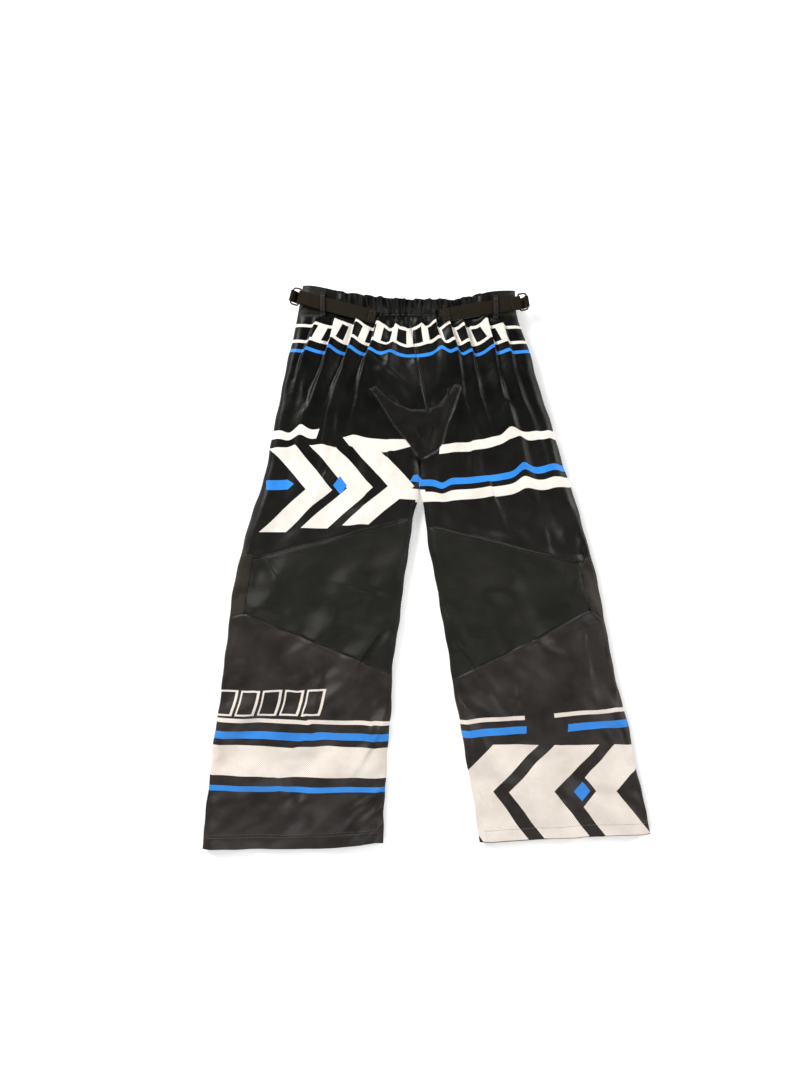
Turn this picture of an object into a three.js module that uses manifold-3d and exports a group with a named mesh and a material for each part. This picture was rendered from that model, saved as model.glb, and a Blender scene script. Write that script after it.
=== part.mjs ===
// Roller hockey pants, laid flat on their front with the back upwards and the waist towards +Y.
// Millimetres, +Z up. The garment is lofted as one hollow shell, then cut along its seams into
// panels, the way the cloth itself is cut. Hardware, webbing and the fly are added to it.
import * as THREE from "three";
import { mergeVertices } from "three/addons/utils/BufferGeometryUtils.js";
import Module from "manifold-3d";

const wasm = await Module();
wasm.setup();

// ---------------------------------------------------------------- driving dimensions
const CLOTH = 1.5; // one layer of cloth, as thick as it is modelled
const SEAM = 0.35; // gap between two panels that are sewn together
const EDGE_RADIUS = 20; // how far in the rounded side edges reach
const ARC_STEPS = 3; // points on each quarter of a rounded edge
const STATION_STEP = 48; // spacing of the sections along the legs

const LEFT_HEM_Y = -528;
const RIGHT_HEM_Y = -512;
const CROTCH_Y = 205;
const WAIST_SEAM_Y = 478;
const SHELL_TOP_Y = 545; // above the waistband, which is trimmed to its curved top edge
const HEM_DEPTH = 28; // height of the turned-up hem
const BAND_LAYER = 1.2; // casing, elastic and facing of the waistband
const LAYER_GAP = 0.3; // between layers that lie on each other

// Thickness of the flattened garment, and how far its front stands off the floor, along Y.
const HEIGHT = [[-528, 18], [-60, 21], [205, 24], [330, 26], [545, 26]];
const BASE = [[-528, 0], [205, 0], [330, 4.5], [545, 4.5]];

// Side edges of each half, as [y, x] from the hem to the waist.
const LEFT_OUTER = [
  [-528, -425], [-405, -413], [-177, -383], [-62, -370], [51, -347],
  [165, -311], [336, -275], [478, -244], [545, -232],
];
const LEFT_INNER = [
  [-528, -81], [-405, -77], [-291, -68], [-177, -62], [-62, -46],
  [51, -31], [133, -21], [205, -13.5], [225, -12], [545, -30],
];
const RIGHT_INNER = [
  [-521, 104], [-405, 85], [-291, 64], [-177, 45], [-62, 26],
  [51, 3], [133, -8], [205, -10.5], [225, -12], [545, -30],
];
const RIGHT_OUTER = [
  [-521, 427], [-405, 406], [-291, 383], [-177, 354], [-62, 334],
  [51, 307], [194, 263], [336, 218], [430, 190], [478, 173], [545, 168],
];

// Seam lines in plan, as [x, y]. Each runs a little past the edge that it ends on.
const LEFT_SEAMS = {
  kneeTop: [[-374, 56], [-350, 38], [-328, 21], [-27, 97], [-16, 100]],
  kneeBottom: [[-395, -98], [-370, -89], [-345, -82], [-67, -198], [-40, -209]],
  sideEdge: [[-328, 21], [-345, -82]],
};
const RIGHT_SEAMS = {
  kneeTop: [[-10, 86], [5, 82], [288, 13], [311, 28], [336, 45]],
  kneeBottom: [[28, -219], [56, -205], [311, -78], [339, -95], [364, -110]],
  sideEdge: [[288, 13], [311, -78]],
};
const GUSSET = [
  [-96, 345], [-82, 331], [-58, 312], [-30, 301], [3, 301], [25, 311], [42, 330],
  [53, 344], [65, 337], [41, 275], [12, 222], [-6, 195], [-18, 195], [-52, 258], [-104, 334],
];
const BACK_CENTRE_SEAM = [[-37, 550], [-31, 478], [3, 301]];
const WAIST_TOP = [
  [-300, 540], [-233, 534], [-153, 519], [-48, 511], [56, 508], [94, 516], [122, 524],
  [164, 527], [178, 519], [240, 516],
];

const FLY = { x: -24, bottom: 338, width: 11 };
const WEBBING = { width: 25, thickness: 1.4 };
const STRAPS = {
  left: { x: -237.7, y: 513, turn: -14.5, length: 148 },
  right: { x: 174.8, y: 503.5, turn: 189.6, length: 148 },
};
const KNIFE_LOW = -20;
const KNIFE_HIGH = 80;

// ---------------------------------------------------------------- materials
const cloth = (color) => new THREE.MeshStandardMaterial({ color, roughness: 0.8, metalness: 0 });
const MATERIALS = {
  smoothCloth: cloth(0x1d1e1e),
  kneeCloth: cloth(0x23241f),
  meshCloth: cloth(0x2c2928),
  gussetCloth: cloth(0x1b1916),
  sideCloth: cloth(0x35302a),
  elastic: cloth(0x15171a),
  lining: cloth(0x121212),
  webbing: cloth(0x2a241c),
  hookTape: cloth(0x0c0c0c),
  plastic: new THREE.MeshStandardMaterial({ color: 0x0a0a0a, roughness: 0.35, metalness: 0 }),
  zipMetal: new THREE.MeshStandardMaterial({ color: 0x2a2a2c, roughness: 0.3, metalness: 1 }),
};

// ---------------------------------------------------------------- small tools
// A smooth function through [position, value] pairs in rising order of position.
function curveThrough(pairs) {
  const positions = pairs.map((p) => p[0]);
  const values = pairs.map((p) => p[1]);
  const curve = new THREE.CubicInterpolant(positions, values, 1, new Float32Array(1));
  const [first, last] = [positions[0], positions.at(-1)];
  return (at) => curve.evaluate(THREE.MathUtils.clamp(at, first, last))[0];
}

function straightThrough(pairs) {
  const curve = new THREE.LinearInterpolant(
    pairs.map((p) => p[0]), pairs.map((p) => p[1]), 1, new Float32Array(1),
  );
  const [first, last] = [pairs[0][0], pairs.at(-1)[0]];
  return (at) => curve.evaluate(THREE.MathUtils.clamp(at, first, last))[0];
}

const heightAt = straightThrough(HEIGHT);
const baseAt = straightThrough(BASE);
const middleAt = (y) => baseAt(y) + heightAt(y) / 2;
const HALVES = {
  left: { outer: curveThrough(LEFT_OUTER), inner: curveThrough(LEFT_INNER), inward: 1, hem: LEFT_HEM_Y },
  right: { outer: curveThrough(RIGHT_OUTER), inner: curveThrough(RIGHT_INNER), inward: -1, hem: RIGHT_HEM_Y },
};

function solidOf(geometry) {
  const plain = geometry.index ? geometry.toNonIndexed() : geometry.clone();
  plain.deleteAttribute("normal");
  plain.deleteAttribute("uv");
  const merged = mergeVertices(plain, 1e-4);
  return new wasm.Manifold(new wasm.Mesh({
    numProp: 3,
    vertProperties: merged.attributes.position.array,
    triVerts: new Uint32Array(merged.index.array),
  }));
}

function geometryOf(solid) {
  const mesh = solid.getMesh();
  const positions = new Float32Array(mesh.numVert * 3);
  for (let i = 0; i < mesh.numVert; i++) {
    for (let k = 0; k < 3; k++) positions[3 * i + k] = mesh.vertProperties[mesh.numProp * i + k];
  }
  const geometry = new THREE.BufferGeometry();
  geometry.setAttribute("position", new THREE.BufferAttribute(positions, 3));
  geometry.setIndex(new THREE.BufferAttribute(new Uint32Array(mesh.triVerts), 1));
  geometry.computeVertexNormals();
  return geometry;
}

const joined = (solids) => solids.reduce((all, next) => all.add(next));

// A closed solid through rings of the same number of points. Each ring is convex.
function loft(rings) {
  const count = rings[0].length;
  const positions = [];
  const triangle = (a, b, c) => positions.push(...a, ...b, ...c);
  const centreOf = (ring) => [0, 1, 2].map((k) => ring.reduce((sum, p) => sum + p[k], 0) / count);
  for (let r = 0; r + 1 < rings.length; r++) {
    for (let i = 0; i < count; i++) {
      const j = (i + 1) % count;
      triangle(rings[r][i], rings[r][j], rings[r + 1][j]);
      triangle(rings[r][i], rings[r + 1][j], rings[r + 1][i]);
    }
  }
  const [first, last] = [rings[0], rings.at(-1)];
  const [firstCentre, lastCentre] = [centreOf(first), centreOf(last)];
  for (let i = 0; i < count; i++) {
    const j = (i + 1) % count;
    triangle(first[j], first[i], firstCentre);
    triangle(last[i], last[j], lastCentre);
  }
  const geometry = new THREE.BufferGeometry();
  geometry.setAttribute("position", new THREE.BufferAttribute(new Float32Array(positions), 3));
  return solidOf(geometry);
}

// An outline in plan, [x, y] points, as a solid from zLow to zHigh.
function prism(points, zLow, zHigh) {
  const shape = new THREE.Shape(points.map(([x, y]) => new THREE.Vector2(x, y)));
  const geometry = new THREE.ExtrudeGeometry(shape, { depth: zHigh - zLow, bevelEnabled: false });
  return solidOf(geometry.translate(0, 0, zLow));
}

function block(low, high) {
  const size = high.map((v, k) => v - low[k]);
  const centre = high.map((v, k) => (v + low[k]) / 2);
  return solidOf(new THREE.BoxGeometry(...size).translate(...centre));
}

function disc(x, y, radius, zLow, zHigh) {
  const geometry = new THREE.CylinderGeometry(radius, radius, zHigh - zLow, 24);
  return solidOf(geometry.rotateX(Math.PI / 2).translate(x, y, (zLow + zHigh) / 2));
}

// A thin blade that follows a seam line.
function knife(points, zLow = KNIFE_LOW, zHigh = KNIFE_HIGH) {
  const blades = [];
  for (let i = 0; i + 1 < points.length; i++) {
    const start = new THREE.Vector2(...points[i]);
    const end = new THREE.Vector2(...points[i + 1]);
    const along = end.clone().sub(start).normalize();
    const side = new THREE.Vector2(-along.y, along.x).multiplyScalar(SEAM / 2);
    const overlap = along.clone().multiplyScalar(SEAM / 2);
    start.sub(overlap);
    end.add(overlap);
    const corners = [
      start.clone().add(side), start.clone().sub(side), end.clone().sub(side), end.clone().add(side),
    ];
    blades.push(prism(corners.map((c) => [c.x, c.y]), zLow, zHigh));
  }
  return joined(blades);
}

// ---------------------------------------------------------------- the garment's shell
// One half's section at y, drawn in by depth: round at the side edge, flat in the middle, and
// round at the inseam below the crotch. Above the crotch it ends on the centre line.
function section(half, y, depth) {
  const closed = THREE.MathUtils.smoothstep(CROTCH_Y + 28 - y, 0, 28);
  const outer = half.outer(y) + half.inward * depth;
  const inner = half.inner(y) - half.inward * (depth * closed - 0.1 * (1 - closed));
  const rise = heightAt(y) / 2 - depth;
  const outerRadius = EDGE_RADIUS - depth;
  const innerRadius = (EDGE_RADIUS - depth) * closed;
  const point = (edge, inward, radius, step, up) => {
    const angle = (step / ARC_STEPS) * (Math.PI / 2);
    const x = edge + inward * radius * (1 - Math.cos(angle));
    return [x, y, middleAt(y) + up * rise * Math.sin(angle)];
  };
  const ring = [];
  for (let k = 0; k <= ARC_STEPS; k++) ring.push(point(outer, half.inward, outerRadius, k, 1));
  for (let k = ARC_STEPS; k >= 0; k--) ring.push(point(inner, -half.inward, innerRadius, k, 1));
  for (let k = 1; k <= ARC_STEPS; k++) ring.push(point(inner, -half.inward, innerRadius, k, -1));
  for (let k = ARC_STEPS; k >= 1; k--) ring.push(point(outer, half.inward, outerRadius, k, -1));
  return half.inward > 0 ? ring : ring.reverse();
}

// Both halves as one solid between two heights, drawn in by depth.
function bodyOf(depth, halves, yLow, yHigh) {
  const solids = halves.map((half) => {
    const low = Math.max(yLow, half.hem);
    const steps = Math.max(1, Math.round((yHigh - low) / STATION_STEP));
    const rings = [];
    for (let i = 0; i <= steps; i++) rings.push(section(half, THREE.MathUtils.lerp(low, yHigh, i / steps), depth));
    return loft(rings);
  });
  return joined(solids);
}

// The same solid with its ends carried on, so that it cuts an open mouth.
function hollowOf(depth, halves, yLow, yHigh) {
  const plugs = halves.map((half) => {
    const low = Math.max(yLow, half.hem);
    const mouth = (y, to) => loft([section(half, y, depth), section(half, y, depth).map(([x, , z]) => [x, to, z])]);
    const lower = section(half, low, depth).map(([x, , z]) => [x, low - 10, z]);
    return loft([lower, section(half, low, depth)]).add(mouth(yHigh, yHigh + 10));
  });
  return joined([bodyOf(depth, halves, yLow, yHigh), ...plugs]);
}

const BOTH = [HALVES.left, HALVES.right];
const shellOf = (outerDepth, innerDepth, yLow, yHigh, halves = BOTH) =>
  bodyOf(outerDepth, halves, yLow, yHigh).subtract(hollowOf(innerDepth, halves, yLow, yHigh));

// A level blade between front and back along the side seams, from xLow to xHigh.
function sideBlade(xLow, xHigh, yLow, yHigh) {
  const heights = [...new Set([yLow, ...HEIGHT.map((p) => p[0]).filter((y) => y > yLow && y < yHigh), yHigh])];
  return loft(heights.map((y) => {
    const z = middleAt(y);
    return [
      [xLow, y, z - SEAM / 2], [xLow, y, z + SEAM / 2], [xHigh, y, z + SEAM / 2], [xHigh, y, z - SEAM / 2],
    ];
  }));
}

const FAR = 600;
const LEG_MIDDLE = { left: -160, right: 140 };
const PAST_SEAM = 1.2; // side seams run this far past the knee seams, so that the panels part
const INSEAM_TOP = 195.3; // foot of the gusset, which stays in one piece round the crotch

function seamBlades() {
  const { left, right } = LEG_MIDDLE;
  const sides = [
    sideBlade(-FAR, left, -FAR, LEFT_SEAMS.kneeBottom[1][1] + PAST_SEAM),
    sideBlade(-FAR, left, LEFT_SEAMS.kneeTop[1][1] - PAST_SEAM, SHELL_TOP_Y + 5),
    sideBlade(left, right, -FAR, INSEAM_TOP),
    sideBlade(right, FAR, -FAR, RIGHT_SEAMS.kneeBottom[3][1] + PAST_SEAM),
    sideBlade(right, FAR, RIGHT_SEAMS.kneeTop[3][1] - PAST_SEAM, SHELL_TOP_Y + 5),
  ];
  const lines = [LEFT_SEAMS, RIGHT_SEAMS].flatMap((s) => [s.kneeTop, s.kneeBottom, s.sideEdge]);
  const topOnly = middleAt(WAIST_SEAM_Y);
  return joined([
    ...sides,
    ...lines.map((line) => knife(line)),
    knife([...GUSSET, GUSSET[0]]),
    knife([[-FAR, WAIST_SEAM_Y], [FAR, WAIST_SEAM_Y]]),
    knife(BACK_CENTRE_SEAM.slice(1), topOnly),
    knife([[FLY.x, FLY.bottom], [-22, 301]], KNIFE_LOW, topOnly),
  ]);
}

const overWaist = prism([...WAIST_TOP, [240, 700], [-300, 700]], KNIFE_LOW, KNIFE_HIGH);
const flySlot = block(
  [FLY.x - FLY.width / 2, FLY.bottom, KNIFE_LOW], [FLY.x + FLY.width / 2, WAIST_SEAM_Y, middleAt(FLY.bottom)],
);

// ---------------------------------------------------------------- nodes
const pants = new THREE.Group();

function addNode(name, solid, material, parent = pants) {
  const mesh = new THREE.Mesh(geometryOf(solid), MATERIALS[material]);
  mesh.name = name;
  parent.add(mesh);
}

// Names the loose pieces of a cut solid. Each label is [name, material, point inside the piece].
function addPieces(solid, labels) {
  const pieces = solid.decompose();
  for (const [name, material, [x, y, z]] of labels) {
    const probe = block([x - 4, y - 4, z - 2.5], [x + 4, y + 4, z + 2.5]);
    const found = pieces.filter((piece) => piece.intersect(probe).volume() > 1);
    if (found.length !== 1) throw new Error(`${name}: ${found.length} pieces at its label`);
    addNode(name, found[0], material);
  }
}

const backZ = (y) => baseAt(y) + heightAt(y) - CLOTH / 2;
const frontZ = (y) => baseAt(y) + CLOTH / 2;

function panelLabels(side, x) {
  const rows = [
    ["upper_panel", "smoothCloth", x.upper, 230],
    ["knee_panel", "kneeCloth", x.knee, -40],
    ["lower_panel", "meshCloth", x.lower, -380],
  ];
  const faces = [["back", backZ], ["front", frontZ]];
  return faces.flatMap(([face, zAt]) =>
    rows.map(([part, material, px, y]) => [`${side}_${face}_${part}`, material, [px, y, zAt(y)]]));
}

const cutShell = shellOf(0, CLOTH, -FAR, SHELL_TOP_Y).subtract(seamBlades()).subtract(flySlot);
const belowWaist = cutShell.intersect(block([-FAR, -FAR, KNIFE_LOW], [FAR, WAIST_SEAM_Y, KNIFE_HIGH]));
addPieces(belowWaist, [
  ...panelLabels("left", { upper: -220, knee: -200, lower: -240 }),
  ...panelLabels("right", { upper: 160, knee: 170, lower: 240 }),
  ["crotch_gusset", "gussetCloth", [-20, 260, backZ(260)]],
  ["left_side_knee_panel", "sideCloth", [-345, -20, backZ(-20)]],
  ["right_side_knee_panel", "sideCloth", [309, -20, backZ(-20)]],
]);

// The turned-up hem inside each leg's mouth.
for (const [side, half] of Object.entries(HALVES)) {
  const outerDepth = CLOTH + LAYER_GAP;
  addNode(
    `${side}_hem_turn_up`,
    shellOf(outerDepth, outerDepth + 1, half.hem + 0.5, half.hem + HEM_DEPTH, [half]),
    "meshCloth",
  );
}

// Waistband: casing outside, elastic across the back, facing inside. The front opens at the fly.
function bandLayer(number) {
  const outerDepth = number * (BAND_LAYER + LAYER_GAP);
  const low = WAIST_SEAM_Y + SEAM;
  const layer = shellOf(outerDepth, outerDepth + BAND_LAYER, low, SHELL_TOP_Y);
  const frontGap = block([FLY.x - 1, low - 1, KNIFE_LOW], [FLY.x + 1, 600, middleAt(low)]);
  const sides = sideBlade(-FAR, FAR, low - 5, SHELL_TOP_Y + 5);
  return layer.subtract(overWaist).subtract(frontGap).subtract(sides);
}

const bandTop = baseAt(500) + heightAt(500);
const bandLabels = (layer, names) => {
  const depth = layer * (BAND_LAYER + LAYER_GAP) + BAND_LAYER / 2;
  const places = [[-60, bandTop - depth], [-150, baseAt(500) + depth], [100, baseAt(500) + depth]];
  return names.map((entry, i) => entry && [...entry, [places[i][0], 495, places[i][1]]]).filter(Boolean);
};
addPieces(bandLayer(0), bandLabels(0, [
  ["back_waistband", "elastic"], ["left_front_waistband", "smoothCloth"], ["right_front_waistband", "smoothCloth"],
]));
addPieces(bandLayer(1), bandLabels(1, [
  ["waistband_elastic", "elastic"], ["left_front_interfacing", "lining"], ["right_front_interfacing", "lining"],
]));
addPieces(bandLayer(2), bandLabels(2, [
  ["back_waistband_facing", "lining"], ["left_front_facing", "lining"], ["right_front_facing", "lining"],
]));

// ---------------------------------------------------------------- side straps
// Built along +X from the ring's bar, on the waistband's surface, then turned into place.
const sideProfile = (shape, width) =>
  solidOf(new THREE.ExtrudeGeometry(shape, { depth: width, bevelEnabled: false, curveSegments: 8 })
    .rotateX(Math.PI / 2).translate(0, width / 2, 0));

const BAR = { z: 4, turnInner: 2.3 }; // the ring's inner bar and the webbing's bend round it
const LOOP_AT = 44.5; // belt loop, from the ring's bar
const TAIL_AT = 54; // where the tail starts to lift
const OVER_Z = 3.4; // underside of the upper run of webbing

function webbingTurn() {
  const outer = BAR.turnInner + WEBBING.thickness;
  const shape = new THREE.Shape();
  shape.moveTo(60, BAR.z - outer);
  shape.lineTo(0, BAR.z - outer);
  shape.absarc(0, BAR.z, outer, -Math.PI / 2, Math.PI / 2, true);
  shape.lineTo(8, BAR.z + outer);
  shape.lineTo(8, BAR.z + BAR.turnInner);
  shape.lineTo(0, BAR.z + BAR.turnInner);
  shape.absarc(0, BAR.z, BAR.turnInner, Math.PI / 2, -Math.PI / 2, false);
  shape.lineTo(60, BAR.z - BAR.turnInner);
  return sideProfile(shape, WEBBING.width);
}

function webbingOverRun() {
  const high = BAR.z + BAR.turnInner;
  const t = WEBBING.thickness;
  const points = [
    [8.4, high], [30, OVER_Z], [TAIL_AT, OVER_Z], [TAIL_AT, OVER_Z + t], [30, OVER_Z + t], [8.4, high + t],
  ];
  return sideProfile(new THREE.Shape(points.map((p) => new THREE.Vector2(...p))), WEBBING.width);
}

function webbingTail(end) {
  const t = WEBBING.thickness;
  const points = [
    [TAIL_AT + 0.4, OVER_Z], [end, OVER_Z], [end, OVER_Z + 2 * t], [end - 16, OVER_Z + 2 * t],
    [end - 16, OVER_Z + t], [TAIL_AT + 0.4, OVER_Z + t],
  ];
  return sideProfile(new THREE.Shape(points.map((p) => new THREE.Vector2(...p))), WEBBING.width);
}

// A belt loop: a strip that stands over the webbing and comes down to the band at both ends.
function beltLoop(width, span, clear) {
  const thick = 1.2;
  const half = span / 2;
  const foot = 6;
  const points = [
    [-half, 0.3], [-half + foot, 0.3], [-half + foot, clear], [half - foot, clear], [half - foot, 0.3],
    [half, 0.3], [half, 0.3 + thick], [half - foot + thick + 1, clear + thick],
    [-half + foot - thick - 1, clear + thick], [-half, 0.3 + thick],
  ];
  return sideProfile(new THREE.Shape(points.map((p) => new THREE.Vector2(...p))), width)
    .rotate([0, 0, 90]);
}

function roundedLoop(xLow, xHigh, halfWidth, outerRadius, innerRadius) {
  const path = new THREE.Shape();
  path.moveTo(xHigh - innerRadius, -halfWidth);
  path.absarc(xHigh - innerRadius, -halfWidth + innerRadius, innerRadius, -Math.PI / 2, 0, false);
  path.absarc(xHigh - innerRadius, halfWidth - innerRadius, innerRadius, 0, Math.PI / 2, false);
  path.absarc(xLow + outerRadius, halfWidth - outerRadius, outerRadius, Math.PI / 2, Math.PI, false);
  path.absarc(xLow + outerRadius, -halfWidth + outerRadius, outerRadius, Math.PI, Math.PI * 1.5, false);
  return path;
}

const RING = { reach: 17, halfWidth: 17.2, bar: 2.8, thickness: 2.8 };
const RING_TAB_WIDTH = 21; // nearly fills the ring

function ring() {
  const { reach, halfWidth, bar, thickness } = RING;
  const shape = roundedLoop(-reach, bar / 2, halfWidth, 9.5, 3);
  shape.holes.push(roundedLoop(-reach + bar, -bar / 2, halfWidth - bar, 6.3, 1));
  const geometry = new THREE.ExtrudeGeometry(shape, { depth: thickness, bevelEnabled: false, curveSegments: 6 });
  return solidOf(geometry.translate(0, 0, BAR.z - thickness / 2));
}

// The tape that holds the ring's outer bar and is sewn into the side seam below it.
function ringTab(reachIn, drop) {
  const x = -RING.reach + RING.bar / 2;
  const teardrop = (radius, foot) => {
    const toFoot = new THREE.Vector2(foot[0] - x, foot[1] - BAR.z);
    const spread = Math.acos(radius / toFoot.length());
    const heading = toFoot.angle();
    const path = new THREE.Shape();
    path.absarc(x, BAR.z, radius, heading + spread, heading - spread + 2 * Math.PI, false);
    path.lineTo(...foot);
    return path;
  };
  const shape = teardrop(3.6, [reachIn, drop]);
  const share = 0.6; // of the way down to the foot, where the two sides of the loop meet
  const fork = [THREE.MathUtils.lerp(x, reachIn, share), THREE.MathUtils.lerp(BAR.z, drop, share)];
  shape.holes.push(teardrop(2.3, fork));
  return sideProfile(shape, RING_TAB_WIDTH);
}

for (const [side, place] of Object.entries(STRAPS)) {
  const strap = new THREE.Group();
  strap.position.set(place.x, place.y, bandTop);
  strap.rotation.z = THREE.MathUtils.degToRad(place.turn);
  pants.add(strap);
  const half = HALVES[side];
  const edge = Math.abs(half.outer(place.y) - place.x);
  const halfWidth = WEBBING.width / 2;
  addNode(`${side}_strap_webbing`, webbingTurn(), "webbing", strap);
  addNode(`${side}_strap_over_run`, webbingOverRun(), "webbing", strap);
  const hooks = block([place.length - 42, -halfWidth + 1, 2.2], [place.length - 10, halfWidth - 1, 3.1]);
  const loops = block([61, -halfWidth, 0.3], [place.length - 4, halfWidth, 1.9]);
  addNode(`${side}_strap_tail`, webbingTail(place.length), "webbing", strap);
  addNode(`${side}_hook_patch`, hooks, "hookTape", strap);
  addNode(`${side}_loop_patch`, loops, "hookTape", strap);
  const upright = beltLoop(8, 44, 7.5).rotate([0, 0, -place.turn]); // along Y, although the strap slopes
  addNode(`${side}_back_belt_loop`, upright.translate([LOOP_AT, 0, 0]), "smoothCloth", strap);
  addNode(`${side}_ring`, ring(), "plastic", strap);
  addNode(`${side}_ring_tab`, ringTab(-edge - 1.2, -heightAt(500) / 2), "lining", strap);
}

// Front belt loops, on the underside.
for (const [side, x] of [["left", -150], ["right", 98]]) {
  const loop = new THREE.Group();
  loop.position.set(x, 499, baseAt(500));
  loop.rotation.x = Math.PI;
  pants.add(loop);
  addNode(`${side}_front_belt_loop`, beltLoop(9, 36, 3), "smoothCloth", loop);
}

// ---------------------------------------------------------------- fly
const faceZ = baseAt(400); // outer face of the front cloth along the fly
const ZIP = { coilIn: 0.9, coilOut: 3.3, low: faceZ - 0.3, high: faceZ + 2, tape: 15 };
const coilTop = WAIST_SEAM_Y - 3;
const tapeLow = faceZ + CLOTH + LAYER_GAP;
for (const [side, sign] of [["left", -1], ["right", 1]]) {
  const span = (a, b) => [Math.min(sign * a, sign * b) + FLY.x, Math.max(sign * a, sign * b) + FLY.x];
  const [coilLow, coilHigh] = span(ZIP.coilIn, ZIP.coilOut);
  const [tapeIn, tapeOut] = span(ZIP.coilIn + 0.8, ZIP.tape);
  const coil = block([coilLow, FLY.bottom + 3, ZIP.low], [coilHigh, coilTop, ZIP.high]);
  const tape = block([tapeIn, FLY.bottom + 1, tapeLow], [tapeOut, coilTop, tapeLow + 0.8]);
  const web = block([coilLow, FLY.bottom + 3, ZIP.high - 0.1], [coilHigh, coilTop, tapeLow + 0.8]);
  addNode(`${side}_zip_tape`, joined([coil, tape, web]), "elastic");
}

const SLIDER = { y: WAIST_SEAM_Y - 12, length: 11, half: 4.4 };
const sliderPlate = (low, high) =>
  block([FLY.x - SLIDER.half, SLIDER.y - SLIDER.length / 2, low], [FLY.x + SLIDER.half, SLIDER.y + SLIDER.length / 2, high]);
const sliderTop = tapeLow + 0.8 + LAYER_GAP;
const sliderPost = block(
  [FLY.x - 0.55, SLIDER.y - 4, ZIP.low - 1.2], [FLY.x + 0.55, SLIDER.y + 5, sliderTop + 0.5],
);
const bail = [-1, 1].map((sign) => block(
  [FLY.x + sign * 2.4 - 0.5, SLIDER.y - 1.5, 1.2], [FLY.x + sign * 2.4 + 0.5, SLIDER.y + 1.5, ZIP.low - 1.2],
));
addNode("zip_slider", joined([
  sliderPlate(ZIP.low - 1.3, ZIP.low - LAYER_GAP), sliderPlate(sliderTop, sliderTop + 1), sliderPost, ...bail,
]), "zipMetal");

const PULL = { length: 28, z: 0.9 };
addNode("zip_pull", joined([
  block([FLY.x - 1.5, SLIDER.y - 1, PULL.z - 0.6], [FLY.x + 1.5, SLIDER.y + 1, PULL.z + 0.6]),
  block([FLY.x - 1.5, SLIDER.y - 6, PULL.z - 0.5], [FLY.x + 1.5, SLIDER.y - 0.5, PULL.z + 0.5]),
  block([FLY.x - 3, SLIDER.y - PULL.length, PULL.z - 0.5], [FLY.x + 3, SLIDER.y - 5, PULL.z + 0.5]),
]), "zipMetal");
addNode("zip_bottom_stop", block(
  [FLY.x - 4, FLY.bottom + 0.4, ZIP.low], [FLY.x + 4, FLY.bottom + 2.7, tapeLow + 0.5],
).subtract(block([FLY.x - 20, FLY.bottom - 1, tapeLow - 0.3], [FLY.x + 20, FLY.bottom + 5, tapeLow + 3])), "zipMetal");
addNode("fly_shield", prism([
  [FLY.x - 22, WAIST_SEAM_Y - 2], [FLY.x - 22, FLY.bottom], [FLY.x + 6, FLY.bottom - 8],
  [FLY.x + 18, FLY.bottom + 14], [FLY.x + 22, WAIST_SEAM_Y - 2],
], sliderTop + 1.4, sliderTop + 2.4), "lining");

// Waist tab with its press stud. The tab is sewn to the left band and closes over the right one.
const TAB = { y: 494, half: 12, start: FLY.x - 5.5, reach: 36, low: 1.5, high: 2.5, base: 17 };
addNode("waist_tab_base", joined([
  block([TAB.start - TAB.base, TAB.y - TAB.half, TAB.low], [TAB.start - LAYER_GAP, TAB.y + TAB.half, TAB.high]),
  block(
    [TAB.start - TAB.base, TAB.y - TAB.half, TAB.high - 0.1],
    [TAB.start - 3, TAB.y + TAB.half, baseAt(TAB.y) - LAYER_GAP],
  ),
]), "smoothCloth");
const studX = TAB.start + TAB.reach - 12;
const tabEnd = TAB.start + TAB.reach;
addNode("waist_tab", prism([
  [TAB.start, TAB.y - TAB.half], [tabEnd - 7, TAB.y - TAB.half], [tabEnd, TAB.y - 5],
  [tabEnd, TAB.y + 5], [tabEnd - 7, TAB.y + TAB.half], [TAB.start, TAB.y + TAB.half],
], TAB.low, TAB.high).subtract(disc(studX, TAB.y, 2.4, TAB.low - 1, TAB.high + 1)), "smoothCloth");
addNode("press_stud_cap", joined([
  disc(studX, TAB.y, 6.5, 0.3, 1.2),
  disc(studX, TAB.y, 2, 1.1, 2.9),
  disc(studX, TAB.y, 5, 2.8, 3.1),
  disc(studX, TAB.y, 5, 3.05, 3.5).subtract(disc(studX, TAB.y, 2.7, 3, 4)),
]), "zipMetal");
addNode("press_stud_post", joined([
  disc(studX, TAB.y, 2, 3.3, 3.9), disc(studX, TAB.y, 5, 3.8, 4.2),
]), "zipMetal");

// Stand the garment on its lowest face, centred over the origin.
const box = new THREE.Box3().setFromObject(pants, true);
const centre = box.getCenter(new THREE.Vector3());
pants.position.set(-centre.x, -centre.y, -box.min.z);

export default pants;
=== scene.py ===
import math

import bmesh
import bpy
import numpy as np
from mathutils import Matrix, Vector
from mathutils.geometry import delaunay_2d_cdt


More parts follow.
